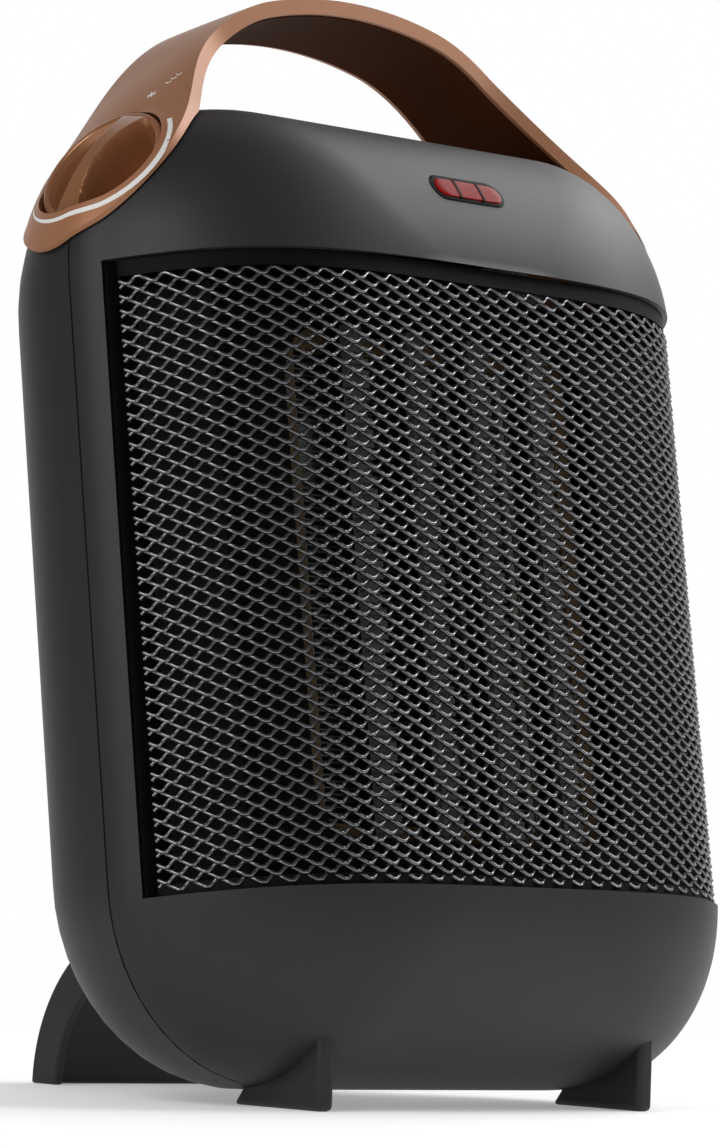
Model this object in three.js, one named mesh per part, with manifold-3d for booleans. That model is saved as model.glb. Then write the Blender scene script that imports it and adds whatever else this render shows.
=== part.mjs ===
// Compact ceramic fan heater with a carrying handle whose ends carry the two controls.
// Millimetres, +Z up, front towards -Y. The body leans back, so it is modelled upright in its own
// frame (x right, y rearward from the seam of the two shells, z up from the grille sill) and the
// whole body group is then tilted and lifted on to its feet.
import * as THREE from "three";
import { mergeVertices, mergeGeometries } from "three/addons/utils/BufferGeometryUtils.js";
import Module from "manifold-3d";

const wasm = await Module();
wasm.setup();

// ---- Driving dimensions ----
const GAP = 0.3; // clearance between two pieces that touch
const WALL = 2.4; // moulded shell wall

// Body
const BODY_WIDTH = 196;
const SILL_HEIGHT = 43.5; // bottom of the body up to the grille opening
const GRILLE_HEIGHT = 155.6; // height of the grille opening
const HEADER_HEIGHT = 44.4; // grille opening up to the top of the body
const CORNER_RADIUS = 46;
const FRONT_DEPTH = 45.5; // seam to the foremost line of the front
const REAR_DEPTH = 60; // seam to the rearmost line of the back
const SIDE_RETURN = 8; // depth of the narrow front shell wall beside the grille
const SIDE_ROUNDING = 3.5; // how far that wall curves inwards
const FRONT_BULGE_POWER = 4.44; // fullness of the bowed front
const ROOF_ROLL = 48; // height over which the front rolls back into the roof and the base
const REAR_BULGE_POWER = 2.5;
const LEAN_ANGLE = 9.6; // backward tilt, degrees
const SEAM_HEIGHT = 47.6; // floor to the grille sill, measured at the seam

// Handle
const ARCH_RADIUS = 110; // outer face of the strap
const ARCH_CENTRE = 73; // below the top of the body
const ARCH_DRAW_IN = 10.7; // the flared ends are nearer the centre by this
const DRAW_IN_LOW = 42; // fully so at this direction, from horizontal, degrees
const DRAW_IN_HIGH = 75; // and not at all from this one up
const STRAP_THICKNESS = 4;
const STRAP_DEPTH = 32; // front to back at the top
const STRAP_SETBACK = 14; // middle of the strap behind the seam, at the top
const PAD_DEPTH = 48; // front to back of the flared end
const PAD_SETBACK = 6; // middle of the flared end behind the seam
const PAD_ANGLE = 36; // direction of the widest place, from horizontal, degrees
const PAD_TIP = 16.7; // from the widest place down to the tip, degrees
const PAD_PROUD = 2.1; // flared end above the body surface, at least
const WAIST_ANGLE = 65; // the flare has narrowed to the strap, degrees
const SWEEP_AT_PAD = 1.8; // front edge nearer the arch centre than the rear edge
const SWEEP_AT_TOP = 0.6; // and at the top of the arch
const SWEEP_LOW = 46; // sweep and crown start to ease off at this direction, degrees
const SWEEP_HIGH = 62; // and have done so at this one
const PAD_CROWN = 2.9; // middle of the flared end above the line between its edges

// Controls
const KNOB_RADIUS = 17.8;
const KNOB_DEPTH = 11;
const KNOB_LIP = 1.7;
const DISH_DEPTH = 7.5;
const GRIP_WIDTH = 3.4;
const KNOB_CLEARANCE = 0.7; // round the knob in its cup
const CUP_WALL = 1.3;
const CUP_FLOOR = 1.4;
const KNOB_ELEVATION = 32.9; // how far the knob faces upwards, degrees
const KNOB_TOE = 9.7; // how far it faces forwards, degrees
const KNOB_REACH = 100.8; // arch centre to the knob's rim
const KNOB_RISE = 34.1; // direction of that line, from horizontal, degrees
const KNOB_SETBACK = 3; // middle of the knob behind the seam
const SPINDLE_RADIUS = 3;
const CONTROL_RADIUS = 12; // thermostat and selector cans
const CONTROL_LENGTH = 14;
const CONTROL_NECK = 3; // spindle between the cup and the can

// Grille and the outlet behind it
const GRILLE_RECESS = 1.8;
const GRILLE_THICKNESS = 0.9;
const GRILLE_MARGIN = 1.2;
const OUTLET_PLANE = -24; // front face of the outlet grid, from the seam
const OUTLET_HALF = 74; // half width of its flat face
const OUTLET_SKIN = 2.4;
const WINDOW_WIDTH = 104;
const WINDOW_HEIGHT = 128;
const WINDOW_RADIUS = 14;
const BAR_COUNT = 4;
const BAR_WIDTH = 5;
const BAR_PITCH = 20.5;
const BAR_DEPTH = 6;

// Heating element
const STRIP_COUNT = 5;
const STRIP_WIDTH = 15;
const STRIP_HEIGHT = 118;
const STRIP_DEPTH = 11;
const STRIP_GAP = 3;
const ELEMENT_RIM = 5;
const ELEMENT_DEPTH = 13;

// Fan
const FAN_RADIUS = 48;
const FAN_TIP_CLEARANCE = 3;
const FAN_HUB = 14;
const FAN_DEPTH = 15;
const BLADE_COUNT = 7;
const BLADE_CHORD = 18;
const BLADE_PITCH = 56; // blade off the plane of rotation's axis, degrees
const BLADE_THICKNESS = 1.8;
const SHAFT_RADIUS = 2.5;
const DUCT_WALL = 2.4;
const MOTOR_WIDTH = 52;
const MOTOR_HEIGHT = 44;
const MOTOR_STACK = 16;
const MOTOR_BORE = 9;
const DUCT_LENGTH = 14;
const DUCT_POST = 4; // radius of the two posts that carry the motor
const COIL_WIDTH = 26;
const COIL_HEIGHT = 15;
const BRACKET_HEIGHT = 18;
const BRACKET_THICKNESS = 2;

// Feet
const FOOT_SPACING = 107; // between the two front blades
const FOOT_THICKNESS = 5;
const FOOT_FRONT = -30; // ahead of the seam's foot line
const FOOT_REAR = 2;
const STAND_WIDTH = 88;
const STAND_RADIUS = 43.3; // outer face of the rear stand, a quarter round
const STAND_THICKNESS = 10;
const STAND_SKIN = 2.6;
const STAND_CENTRE = 53; // its centre behind the seam's foot line, on the floor
const STAND_SCREW_INSET = 12; // screws in from the stand's sides
const STAND_SCREW_Z = -4; // above the grille sill
const STAND_SEAT = 50; // screw pads end about here, behind the seam
const STAND_SCREW_TIP = 59; // head side of the stand screws, behind the seam
const STAND_SCREW_LENGTH = 14;

// Small parts
const LENS_WIDTH = 23;
const LENS_HEIGHT = 6;
const LENS_HEIGHT_ON_BODY = 177; // above the grille sill
const SLOT_COUNT = 13;
const SLOT_HEIGHT = 3.6;
const SLOT_PITCH = 8.4;
const SLOT_WIDTH = 92;
const SLOT_CENTRE = 84; // above the grille sill
const GLAND_RADIUS = 6.5;
const GLAND_FLANGE = 8.5;
const GLAND_X = 60; // from the middle
const GLAND_Z = 22; // above the grille sill
const GLAND_SEAT = 49; // behind the seam
const GLAND_BORE = 3.4;
const SCREW_HEAD = 3.4;
const SCREW_SHANK = 1.5;
const BOSS_RADIUS = 5;
const WELL_FLOOR = 6; // seat of the case screws behind the seam
const SCREW_LOW = [64, -12]; // from the middle, above the grille sill
const SCREW_HIGH = [40, 176];
const SCREW_TIP = -14; // the case screws reach this far ahead of the seam
const SCREW_HEAD_HEIGHT = 2.2;
const TIP_PLACE = [-34, -4, -34]; // tip-over switch
const TIP_BOX = [24, 20, 28];
const TIP_WALL = 2;
const TIP_PIN_RADIUS = 1.4;
const TIP_PIN = [6, 22]; // pendulum behind the box's front, pin above its floor
const TERMINAL_PLACE = [0, 20, -32];
const TERMINAL_SIZE = [34, 9, 14];
const TERMINAL_PITCH = 11;
const WIRE_RADIUS = 1.4;

// Worked out from the above
const HALF_WIDTH = BODY_WIDTH / 2;
const TOP = GRILLE_HEIGHT + HEADER_HEIGHT;
const BOTTOM = -SILL_HEIGHT;
const BOW = FRONT_DEPTH - SIDE_RETURN;
const GRILLE_HALF = HALF_WIDTH - SIDE_ROUNDING;
const ARCH_BASE = TOP - ARCH_CENTRE;
const CORE = GRILLE_HEIGHT / 2; // height of the fan axis and of the heating element
const FRONT_SEAM = -GAP / 2;
const REAR_SEAM = GAP / 2;
const rad = THREE.MathUtils.degToRad;
const { smoothstep } = THREE.MathUtils;

// ---- Solids ----
// A closed geometry as a solid that can be joined and cut.
function solid(geometry) {
  const bare = geometry.clone();
  for (const name of ["normal", "uv"]) bare.deleteAttribute(name);
  const merged = mergeVertices(bare, 1e-4);
  const mesh = new wasm.Mesh({
    numProp: 3,
    vertProperties: new Float32Array(merged.attributes.position.array),
    triVerts: new Uint32Array(merged.index.array),
  });
  return new wasm.Manifold(mesh);
}

function geometryOf(made) {
  const mesh = made.getMesh();
  const geometry = new THREE.BufferGeometry();
  geometry.setAttribute("position", new THREE.BufferAttribute(mesh.vertProperties, 3));
  geometry.setIndex(new THREE.BufferAttribute(mesh.triVerts, 1));
  return geometry;
}

function join(first, ...others) {
  return others.reduce((sum, other) => sum.add(other), first);
}

function cut(first, ...others) {
  return others.reduce((rest, other) => rest.subtract(other), first);
}

// A body through closed loops of equal length, capped by a fan at both ends.
function loft(loops) {
  const count = loops[0].length;
  const points = loops.flat();
  const faces = [];
  for (let ring = 0; ring < loops.length - 1; ring++) {
    for (let i = 0; i < count; i++) {
      const a = ring * count + i;
      const b = ring * count + ((i + 1) % count);
      faces.push(a, b, a + count, b, b + count, a + count);
    }
  }
  for (const [ring, flip] of [[0, true], [loops.length - 1, false]]) {
    const middle = new THREE.Vector3();
    for (const point of loops[ring]) middle.addScaledVector(point, 1 / count);
    points.push(middle);
    for (let i = 0; i < count; i++) {
      const a = ring * count + i;
      const b = ring * count + ((i + 1) % count);
      faces.push(...(flip ? [points.length - 1, b, a] : [points.length - 1, a, b]));
    }
  }
  const geometry = new THREE.BufferGeometry().setFromPoints(points);
  geometry.setIndex(signedVolume(points, faces) < 0 ? faces.reverse() : faces);
  return geometry;
}

function signedVolume(points, faces) {
  const cross = new THREE.Vector3();
  let total = 0;
  for (let i = 0; i < faces.length; i += 3) {
    cross.crossVectors(points[faces[i + 1]], points[faces[i + 2]]);
    total += points[faces[i]].dot(cross);
  }
  return total;
}

// A box from its corners.
function block(low, high) {
  const size = high.map((value, axis) => value - low[axis]);
  const middle = high.map((value, axis) => (value + low[axis]) / 2);
  return new THREE.BoxGeometry(...size).translate(...middle);
}

// A cylinder from a point, a length along +Y (the body's depth).
function rod(radius, from, length, sides = 20) {
  const [x, y, z] = from;
  return new THREE.CylinderGeometry(radius, radius, length, sides).translate(x, y + length / 2, z);
}

// A cylinder along +Z of the local frame, from one height to another.
function drum(radius, low, high, sides = 32) {
  const geometry = new THREE.CylinderGeometry(radius, radius, high - low, sides);
  return geometry.rotateX(Math.PI / 2).translate(0, 0, (low + high) / 2);
}

// A rounded rectangle in the XZ plane, extruded along +Y from one depth to another.
function slab(halfWidth, low, high, radius, front, back, segments = 4) {
  const loop = (y) => roundedLoop({ halfWidth, low, high, radius }, y, segments);
  return loft([loop(front), loop(back)]);
}

function tubeAlong(points, radius, steps) {
  const curve = new THREE.CatmullRomCurve3(points.map((p) => new THREE.Vector3(...p)));
  const section = new THREE.Shape();
  section.absarc(0, 0, radius, 0, 2 * Math.PI);
  return new THREE.ExtrudeGeometry(section, {
    extrudePath: curve,
    steps,
    curveSegments: 4,
    bevelEnabled: false,
  });
}

// ---- The body's outer form ----
// Outline of the body at a depth y from the seam (front negative), as a rounded rectangle.
function outlineAt(y) {
  if (y <= 0) {
    const depth = Math.min(-y, FRONT_DEPTH);
    const roll = ROOF_ROLL * (1 - Math.sqrt(1 - (depth / FRONT_DEPTH) ** 2));
    const halfWidth = depth < SIDE_RETURN
      ? HALF_WIDTH - SIDE_ROUNDING * (depth / SIDE_RETURN) ** 1.7
      : GRILLE_HALF * (1 - (depth - SIDE_RETURN) / BOW) ** (1 / FRONT_BULGE_POWER);
    return outline(halfWidth, BOTTOM + roll, TOP - roll);
  }
  const share = Math.min(y / REAR_DEPTH, 1);
  const inset = HALF_WIDTH * (1 - (1 - share ** REAR_BULGE_POWER) ** (1 / REAR_BULGE_POWER));
  return outline(HALF_WIDTH - inset, BOTTOM + inset, TOP - inset);
}

function outline(halfWidth, low, high) {
  return { halfWidth, low, high, radius: CORNER_RADIUS * (halfWidth / HALF_WIDTH) };
}

function shrink(form, inset) {
  return {
    halfWidth: form.halfWidth - inset,
    low: form.low + inset,
    high: form.high - inset,
    radius: Math.max(form.radius - inset, 0.5),
  };
}

function roundedLoop(form, y, segments = 6) {
  const { halfWidth, low, high, radius } = form;
  const corners = [
    [halfWidth - radius, high - radius, 0],
    [radius - halfWidth, high - radius, 90],
    [radius - halfWidth, low + radius, 180],
    [halfWidth - radius, low + radius, 270],
  ];
  const loop = [];
  for (const [x, z, start] of corners) {
    for (let i = 0; i <= segments; i++) {
      const angle = rad(start + (90 * i) / segments);
      loop.push(new THREE.Vector3(x + radius * Math.cos(angle), y, z + radius * Math.sin(angle)));
    }
  }
  return loop;
}

// Depths of the lofted rings, closer together where the form turns fastest.
function ringDepths(depth, rings) {
  const depths = [];
  for (let i = 0; i <= rings; i++) depths.push(depth * Math.sin((Math.PI / 2) * (i / rings)));
  depths[rings] = depth * 0.9995;
  return depths;
}

// Solid inside the body's outer form on one side of the seam, inset by a wall if one is given.
function halfForm(side, depth, inset, start) {
  const rings = 9;
  const loops = [];
  for (const d of ringDepths(depth - inset, rings)) {
    const outer = outlineAt((side * d * depth) / (depth - inset));
    loops.push(roundedLoop(shrink(outer, inset), side * d));
  }
  loops[0] = loops[0].map((point) => point.clone().setY(side * start));
  return solid(loft(loops));
}

// Front face of the bowed grille opening, as depth for a distance from the middle.
function bow(x, half, recess) {
  return recess - SIDE_RETURN - BOW * (1 - Math.abs(x / half) ** FRONT_BULGE_POWER);
}

// ---- Local frames of the two controls ----
function knobFrame(side) {
  const elevation = rad(KNOB_ELEVATION);
  const toe = rad(KNOB_TOE);
  const out = new THREE.Vector3(
    side * Math.cos(elevation) * Math.cos(toe),
    -Math.sin(toe),
    Math.sin(elevation) * Math.cos(toe),
  );
  const up = new THREE.Vector3(0, 0, 1).addScaledVector(out, -out.z).normalize();
  const across = new THREE.Vector3().crossVectors(up, out);
  const place = new THREE.Vector3(
    side * KNOB_REACH * Math.cos(rad(KNOB_RISE)),
    KNOB_SETBACK,
    ARCH_BASE + KNOB_REACH * Math.sin(rad(KNOB_RISE)),
  );
  return new THREE.Matrix4().makeBasis(across, up, out).setPosition(place);
}

const LEFT_KNOB = knobFrame(-1);
const RIGHT_KNOB = knobFrame(1);
const CUP_RADIUS = KNOB_RADIUS + KNOB_CLEARANCE + CUP_WALL;
const CUP_DEPTH = KNOB_DEPTH + GAP + CUP_FLOOR;
const CONTROL_TOP = -CUP_DEPTH - CONTROL_NECK - GAP;

function placed(geometry, frame) {
  return solid(geometry.clone().applyMatrix4(frame));
}

// ---- Casings ----
function knobHoles() {
  const hole = drum(CUP_RADIUS + GAP, -CUP_DEPTH - 6, 12, 40);
  return join(placed(hole, LEFT_KNOB), placed(hole, RIGHT_KNOB));
}

function bosses(front, back) {
  const posts = screwPlaces().map(([x, z]) => solid(rod(BOSS_RADIUS, [x, front, z], back - front, 14)));
  return join(...posts);
}

function screwPlaces() {
  return [SCREW_LOW, SCREW_HIGH].flatMap(([x, z]) => [[-x, z], [x, z]]);
}

// The floor, in the body's own frame, as a thick plate below it.
function belowFloor() {
  const plate = block([-200, -200, -80], [200, 200, 0]);
  return solid(plate.applyMatrix4(bodyMatrix().invert()));
}

function bodyMatrix() {
  const lean = new THREE.Matrix4().makeRotationX(-rad(LEAN_ANGLE));
  return new THREE.Matrix4().makeTranslation(0, 0, SEAM_HEIGHT).multiply(lean);
}

// One blade foot, drawn in side view on the floor and turned into the body's frame.
function footBlade(side) {
  const profile = new THREE.Shape();
  profile.moveTo(FOOT_FRONT, 0);
  profile.lineTo(FOOT_REAR, 0);
  profile.lineTo(FOOT_REAR - 4, 5);
  profile.lineTo(FOOT_FRONT + 12, 34);
  profile.lineTo(FOOT_FRONT, 22);
  const blade = new THREE.ExtrudeGeometry(profile, { depth: FOOT_THICKNESS, bevelEnabled: false });
  // The drawn axes (along, up, depth) become (y, z, x).
  blade.applyMatrix4(new THREE.Matrix4().set(0, 0, 1, 0, 1, 0, 0, 0, 0, 1, 0, 0, 0, 0, 0, 1));
  blade.translate((side * FOOT_SPACING) / 2 - FOOT_THICKNESS / 2, 0, 0);
  return solid(blade.applyMatrix4(bodyMatrix().invert()));
}

function frontShell() {
  const outer = halfForm(-1, FRONT_DEPTH, 0, -FRONT_SEAM);
  const rearSpace = halfForm(1, REAR_DEPTH, -GAP, FRONT_SEAM);
  const feet = cut(join(footBlade(-1), footBlade(1)), rearSpace);
  const cavity = halfForm(-1, FRONT_DEPTH, WALL, -5);
  const opening = slab(HALF_WIDTH + 20, 0, GRILLE_HEIGHT, 4, -FRONT_DEPTH - 20, -SIDE_RETURN);
  const lensSlot = lensBody(GAP, -FRONT_DEPTH - 5, -20);
  const shell = join(cut(join(outer, feet), cavity), seamPosts());
  const screwHoles = screwPlaces().map(([x, z]) => solid(rod(SCREW_SHANK + GAP, [x, -20, z], 25, 10)));
  return cut(shell, solid(opening), lensSlot, knobHoles(), ...screwHoles);
}

// Screw posts inside the front shell, kept within its outer form.
function seamPosts() {
  const inside = halfForm(-1, FRONT_DEPTH, WALL / 2, -FRONT_SEAM);
  const posts = bosses(-17, FRONT_SEAM);
  const ties = screwPlaces().map(([x, z]) => {
    const [low, high] = z > CORE ? [z, TOP] : [BOTTOM, z];
    return solid(block([x - 1.2, -12, low], [x + 1.2, -2, high]));
  });
  return join(posts, ...ties).intersect(inside);
}

function rearShell() {
  const outer = halfForm(1, REAR_DEPTH, 0, REAR_SEAM);
  const cavity = halfForm(1, REAR_DEPTH, WALL, -5);
  const inside = halfForm(1, REAR_DEPTH, WALL / 2, REAR_SEAM);
  const posts = bosses(REAR_SEAM, REAR_DEPTH).intersect(inside);
  const wells = screwPlaces().map(([x, z]) =>
    solid(rod(SCREW_HEAD + GAP, [x, WELL_FLOOR, z], REAR_DEPTH, 14)));
  const holes = screwPlaces().map(([x, z]) => solid(rod(SCREW_SHANK + GAP, [x, -1, z], 20, 10)));
  const glandHole = solid(rod(GLAND_RADIUS + GAP, [GLAND_X, 30, GLAND_Z], 40));
  const glandSeat = solid(rod(GLAND_FLANGE + GAP, [GLAND_X, GLAND_SEAT, GLAND_Z], 40));
  const glandBoss = solid(rod(GLAND_FLANGE + WALL, [GLAND_X, GLAND_SEAT - 5, GLAND_Z], 40));
  const shell = join(cut(outer, cavity), posts, glandBoss.intersect(inside));
  const openings = [intakeSlots(), glandHole, glandSeat, knobHoles()];
  return cut(shell, ...wells, ...holes, ...openings, ...standScrewHoles());
}

function intakeSlots() {
  const slots = [];
  for (let i = 0; i < SLOT_COUNT; i++) {
    const z = SLOT_CENTRE + (i - (SLOT_COUNT - 1) / 2) * SLOT_PITCH;
    const edge = Math.abs(i - (SLOT_COUNT - 1) / 2) / (SLOT_COUNT / 2);
    const half = (SLOT_WIDTH / 2) * Math.sqrt(1 - 0.55 * edge ** 2);
    slots.push(block([-half, 30, z - SLOT_HEIGHT / 2], [half, REAR_DEPTH + 5, z + SLOT_HEIGHT / 2]));
  }
  return solid(mergeGeometries(slots));
}

// ---- Handle ----
// Distance from the arch centre to the body's surface, in a direction (degrees) at a depth.
function bodyReach(angle, y) {
  const form = outlineAt(y);
  const { radius } = form;
  const coreX = form.halfWidth - radius;
  const coreZ = (form.high - form.low) / 2 - radius;
  const middle = (form.high + form.low) / 2;
  let near = 10;
  let far = 200;
  for (let i = 0; i < 30; i++) {
    const reach = (near + far) / 2;
    const x = Math.abs(reach * Math.cos(rad(angle))) - coreX;
    const z = Math.abs(ARCH_BASE + reach * Math.sin(rad(angle)) - middle) - coreZ;
    const outside = Math.hypot(Math.max(x, 0), Math.max(z, 0)) + Math.min(Math.max(x, z), 0);
    if (outside > radius) far = reach;
    else near = reach;
  }
  return near;
}

// Outer face of the handle: its rear edge follows the arch, its front edge is swept inwards, and
// below the flare it runs square to the knob. It stays clear of the body all the way.
function handleReach(angle, y) {
  const drawIn = 1 - smoothstep(angle, DRAW_IN_LOW, DRAW_IN_HIGH);
  const level = Math.cos(rad(PAD_ANGLE - KNOB_ELEVATION)) / Math.cos(rad(angle - KNOB_ELEVATION));
  const arch = ARCH_RADIUS - ARCH_DRAW_IN * drawIn;
  const rearEdge = angle < PAD_ANGLE ? arch * level : arch;
  const { middle, half } = handleSpan(Math.max(angle, PAD_ANGLE));
  const fromRear = (middle + half - y) / (2 * half);
  const eased = smoothstep(angle, SWEEP_LOW, SWEEP_HIGH);
  const crown = 4 * PAD_CROWN * (1 - eased) * fromRear * (1 - fromRear);
  const sweep = SWEEP_AT_PAD + (SWEEP_AT_TOP - SWEEP_AT_PAD) * eased;
  const reach = rearEdge + crown - sweep * fromRear ** 2;
  return Math.max(reach, bodyReach(angle, y) + PAD_PROUD);
}

// Middle and half depth of the handle at an angle from horizontal.
function handleSpan(angle) {
  const flare = 1 - smoothstep(angle, PAD_ANGLE, WAIST_ANGLE);
  const middle = STRAP_SETBACK + (PAD_SETBACK - STRAP_SETBACK) * flare;
  const half = (STRAP_DEPTH + (PAD_DEPTH - STRAP_DEPTH) * flare) / 2;
  const below = Math.max(PAD_ANGLE - angle, 0) / PAD_TIP;
  return { middle, half: half * Math.sqrt(Math.max(1 - below ** 2, 0)) };
}

// Angles of the handle's sections, from one tip to the other.
function handleAngles() {
  const side = [];
  for (let i = 0; i < 5; i++) side.push(PAD_ANGLE - PAD_TIP * Math.cos(rad(8 + 16.4 * i)));
  for (let i = 0; i <= 11; i++) side.push(PAD_ANGLE + ((90 - PAD_ANGLE) * i) / 11);
  const other = side.slice(0, -1).reverse();
  return [...side.map((angle) => [angle, 1]), ...other.map((angle) => [angle, -1])];
}

// A body under the handle's outer face, down to a depth given for each place.
function underHandle(thicknessAt) {
  const across = 4;
  const loops = handleAngles().map(([angle, side]) => {
    const { middle, half } = handleSpan(angle);
    const at = (y, reach) => new THREE.Vector3(
      side * reach * Math.cos(rad(angle)),
      y,
      ARCH_BASE + reach * Math.sin(rad(angle)),
    );
    const outer = [];
    const inner = [];
    for (let i = 0; i <= across; i++) {
      const y = middle + half * (2 * (i / across) - 1);
      const reach = handleReach(angle, y);
      outer.push(at(y, reach));
      inner.unshift(at(y, thicknessAt(angle, y, reach)));
    }
    return [...outer, ...inner];
  });
  return solid(loft(loops));
}

function handle() {
  const strap = underHandle((angle, y, reach) =>
    Math.max(bodyReach(angle, y) + 2.5 * GAP, reach - STRAP_THICKNESS));
  const deep = underHandle((angle, y, reach) => reach - 45);
  const cup = drum(CUP_RADIUS, -CUP_DEPTH, 12, 40);
  const cups = join(placed(cup, LEFT_KNOB), placed(cup, RIGHT_KNOB)).intersect(deep);
  const bore = drum(KNOB_RADIUS + KNOB_CLEARANCE, CUP_FLOOR - CUP_DEPTH, 20, 40);
  const spindleHole = drum(SPINDLE_RADIUS + 0.8, -CUP_DEPTH - 5, 0, 20);
  const openings = [];
  for (const frame of [LEFT_KNOB, RIGHT_KNOB]) {
    openings.push(placed(bore, frame), placed(spindleHole, frame));
  }
  return cut(join(strap, cups), ...openings);
}

// ---- Controls, in the knob's own frame: +Z outwards, rim at zero ----
function knob() {
  const profile = [
    [0, -KNOB_DEPTH],
    [KNOB_RADIUS, -KNOB_DEPTH],
    [KNOB_RADIUS, -0.6],
    [KNOB_RADIUS - 0.6, 0],
    [KNOB_RADIUS - KNOB_LIP, 0],
    [KNOB_RADIUS - KNOB_LIP - 1, -DISH_DEPTH * 0.6],
    [KNOB_RADIUS * 0.6, -DISH_DEPTH * 0.93],
    [0, -DISH_DEPTH],
  ].map(([radius, height]) => new THREE.Vector2(radius, height));
  const dish = solid(new THREE.LatheGeometry(profile, 40).rotateX(Math.PI / 2));
  const reach = KNOB_RADIUS - KNOB_LIP / 2;
  const grip = solid(block([-GRIP_WIDTH / 2, -reach, -KNOB_DEPTH + 1], [GRIP_WIDTH / 2, reach, -0.8]));
  const within = solid(drum(KNOB_RADIUS - KNOB_LIP / 2, -KNOB_DEPTH, 0, 40));
  return join(dish, grip.intersect(within));
}

function spindle() {
  return drum(SPINDLE_RADIUS, -CUP_DEPTH - CONTROL_NECK, -KNOB_DEPTH - GAP, 16);
}

function controlCan() {
  const can = drum(CONTROL_RADIUS, CONTROL_TOP - CONTROL_LENGTH, CONTROL_TOP, 24);
  return withNeck(solid(can));
}

function switchBlock() {
  const half = CONTROL_RADIUS * 0.9;
  const low = CONTROL_TOP - CONTROL_LENGTH;
  return withNeck(solid(block([-half, -half, low], [half, half, CONTROL_TOP])));
}

// A control's case with the threaded neck that its spindle turns in.
function withNeck(box) {
  const neck = solid(drum(SPINDLE_RADIUS + 3.5, CONTROL_TOP - 1, -CUP_DEPTH - GAP, 20));
  const throat = solid(drum(SPINDLE_RADIUS + GAP, CONTROL_TOP, 0, 16));
  return cut(join(box, neck), throat);
}

// ---- Grille, outlet and heating element ----
function bowedSheet(half, front, back, low, high) {
  const steps = 26;
  const face = (recess, scale) => {
    const points = [];
    for (let i = 0; i <= steps; i++) {
      const share = Math.sin((Math.PI / 2) * ((2 * i) / steps - 1));
      points.push(new THREE.Vector2(half * share, bow(half * share, scale, recess)));
    }
    return points;
  };
  const shape = new THREE.Shape([...face(front, GRILLE_HALF), ...face(back, GRILLE_HALF).reverse()]);
  const sheet = new THREE.ExtrudeGeometry(shape, { depth: high - low, bevelEnabled: false });
  // Drawn in (x, depth), raised along z.
  return sheet.translate(0, 0, low);
}

function frontGrille() {
  const half = GRILLE_HALF - WALL - GAP * 2;
  const back = GRILLE_RECESS + GRILLE_THICKNESS;
  return bowedSheet(half, GRILLE_RECESS, back, GRILLE_MARGIN, GRILLE_HEIGHT - GRILLE_MARGIN);
}

function outletGrid() {
  const side = GRILLE_HALF - WALL - 3;
  const flangeBack = -3;
  const plate = new THREE.Shape();
  plate.moveTo(-side, flangeBack);
  plate.lineTo(-OUTLET_HALF, OUTLET_PLANE);
  plate.lineTo(OUTLET_HALF, OUTLET_PLANE);
  plate.lineTo(side, flangeBack);
  plate.lineTo(side - OUTLET_SKIN * 1.2, flangeBack);
  plate.lineTo(OUTLET_HALF - OUTLET_SKIN * 0.5, OUTLET_PLANE + OUTLET_SKIN);
  plate.lineTo(-OUTLET_HALF + OUTLET_SKIN * 0.5, OUTLET_PLANE + OUTLET_SKIN);
  plate.lineTo(-side + OUTLET_SKIN * 1.2, flangeBack);
  const height = GRILLE_HEIGHT - 2 * GRILLE_MARGIN;
  const channel = new THREE.ExtrudeGeometry(plate, { depth: height, bevelEnabled: false });
  const low = CORE - WINDOW_HEIGHT / 2;
  const high = CORE + WINDOW_HEIGHT / 2;
  const front = OUTLET_PLANE - 5;
  const opening = slab(WINDOW_WIDTH / 2, low, high, WINDOW_RADIUS, front, 0);
  const window = cut(solid(channel.translate(0, 0, GRILLE_MARGIN)), solid(opening));
  const bars = [];
  for (let i = 0; i < BAR_COUNT; i++) {
    const x = (i - (BAR_COUNT - 1) / 2) * BAR_PITCH;
    const depth = [OUTLET_PLANE, OUTLET_PLANE + BAR_DEPTH - GAP];
    const lowEnd = [x - BAR_WIDTH / 2, depth[0], low - 2];
    bars.push(solid(block(lowEnd, [x + BAR_WIDTH / 2, depth[1], high + 2])));
  }
  return join(window, ...bars);
}

const ELEMENT_FRONT = OUTLET_PLANE + BAR_DEPTH;
const PACK_WIDTH = STRIP_COUNT * STRIP_WIDTH + (STRIP_COUNT - 1) * STRIP_GAP;

function elementFrame() {
  const half = PACK_WIDTH / 2 + GAP;
  const tall = STRIP_HEIGHT / 2 + GAP;
  const back = ELEMENT_FRONT + ELEMENT_DEPTH;
  const outerHalf = half + ELEMENT_RIM;
  const low = CORE - tall - ELEMENT_RIM;
  const high = CORE + tall + ELEMENT_RIM;
  const ring = slab(outerHalf, low, high, 6, ELEMENT_FRONT, back);
  const hole = slab(half, CORE - tall, CORE + tall, 1, ELEMENT_FRONT - 1, back + 1, 2);
  return cut(solid(ring), solid(hole));
}

function heatingStrip() {
  const half = STRIP_WIDTH / 2;
  return block([-half, 0, -STRIP_HEIGHT / 2], [half, STRIP_DEPTH, STRIP_HEIGHT / 2]);
}

// ---- Fan ----
const DUCT_FRONT = ELEMENT_FRONT + ELEMENT_DEPTH + GAP;
const DUCT_HOLE = FAN_RADIUS + FAN_TIP_CLEARANCE;
const FAN_FRONT = DUCT_FRONT + DUCT_WALL + 4;
const MOTOR_FRONT = FAN_FRONT + FAN_DEPTH + 4;

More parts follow.
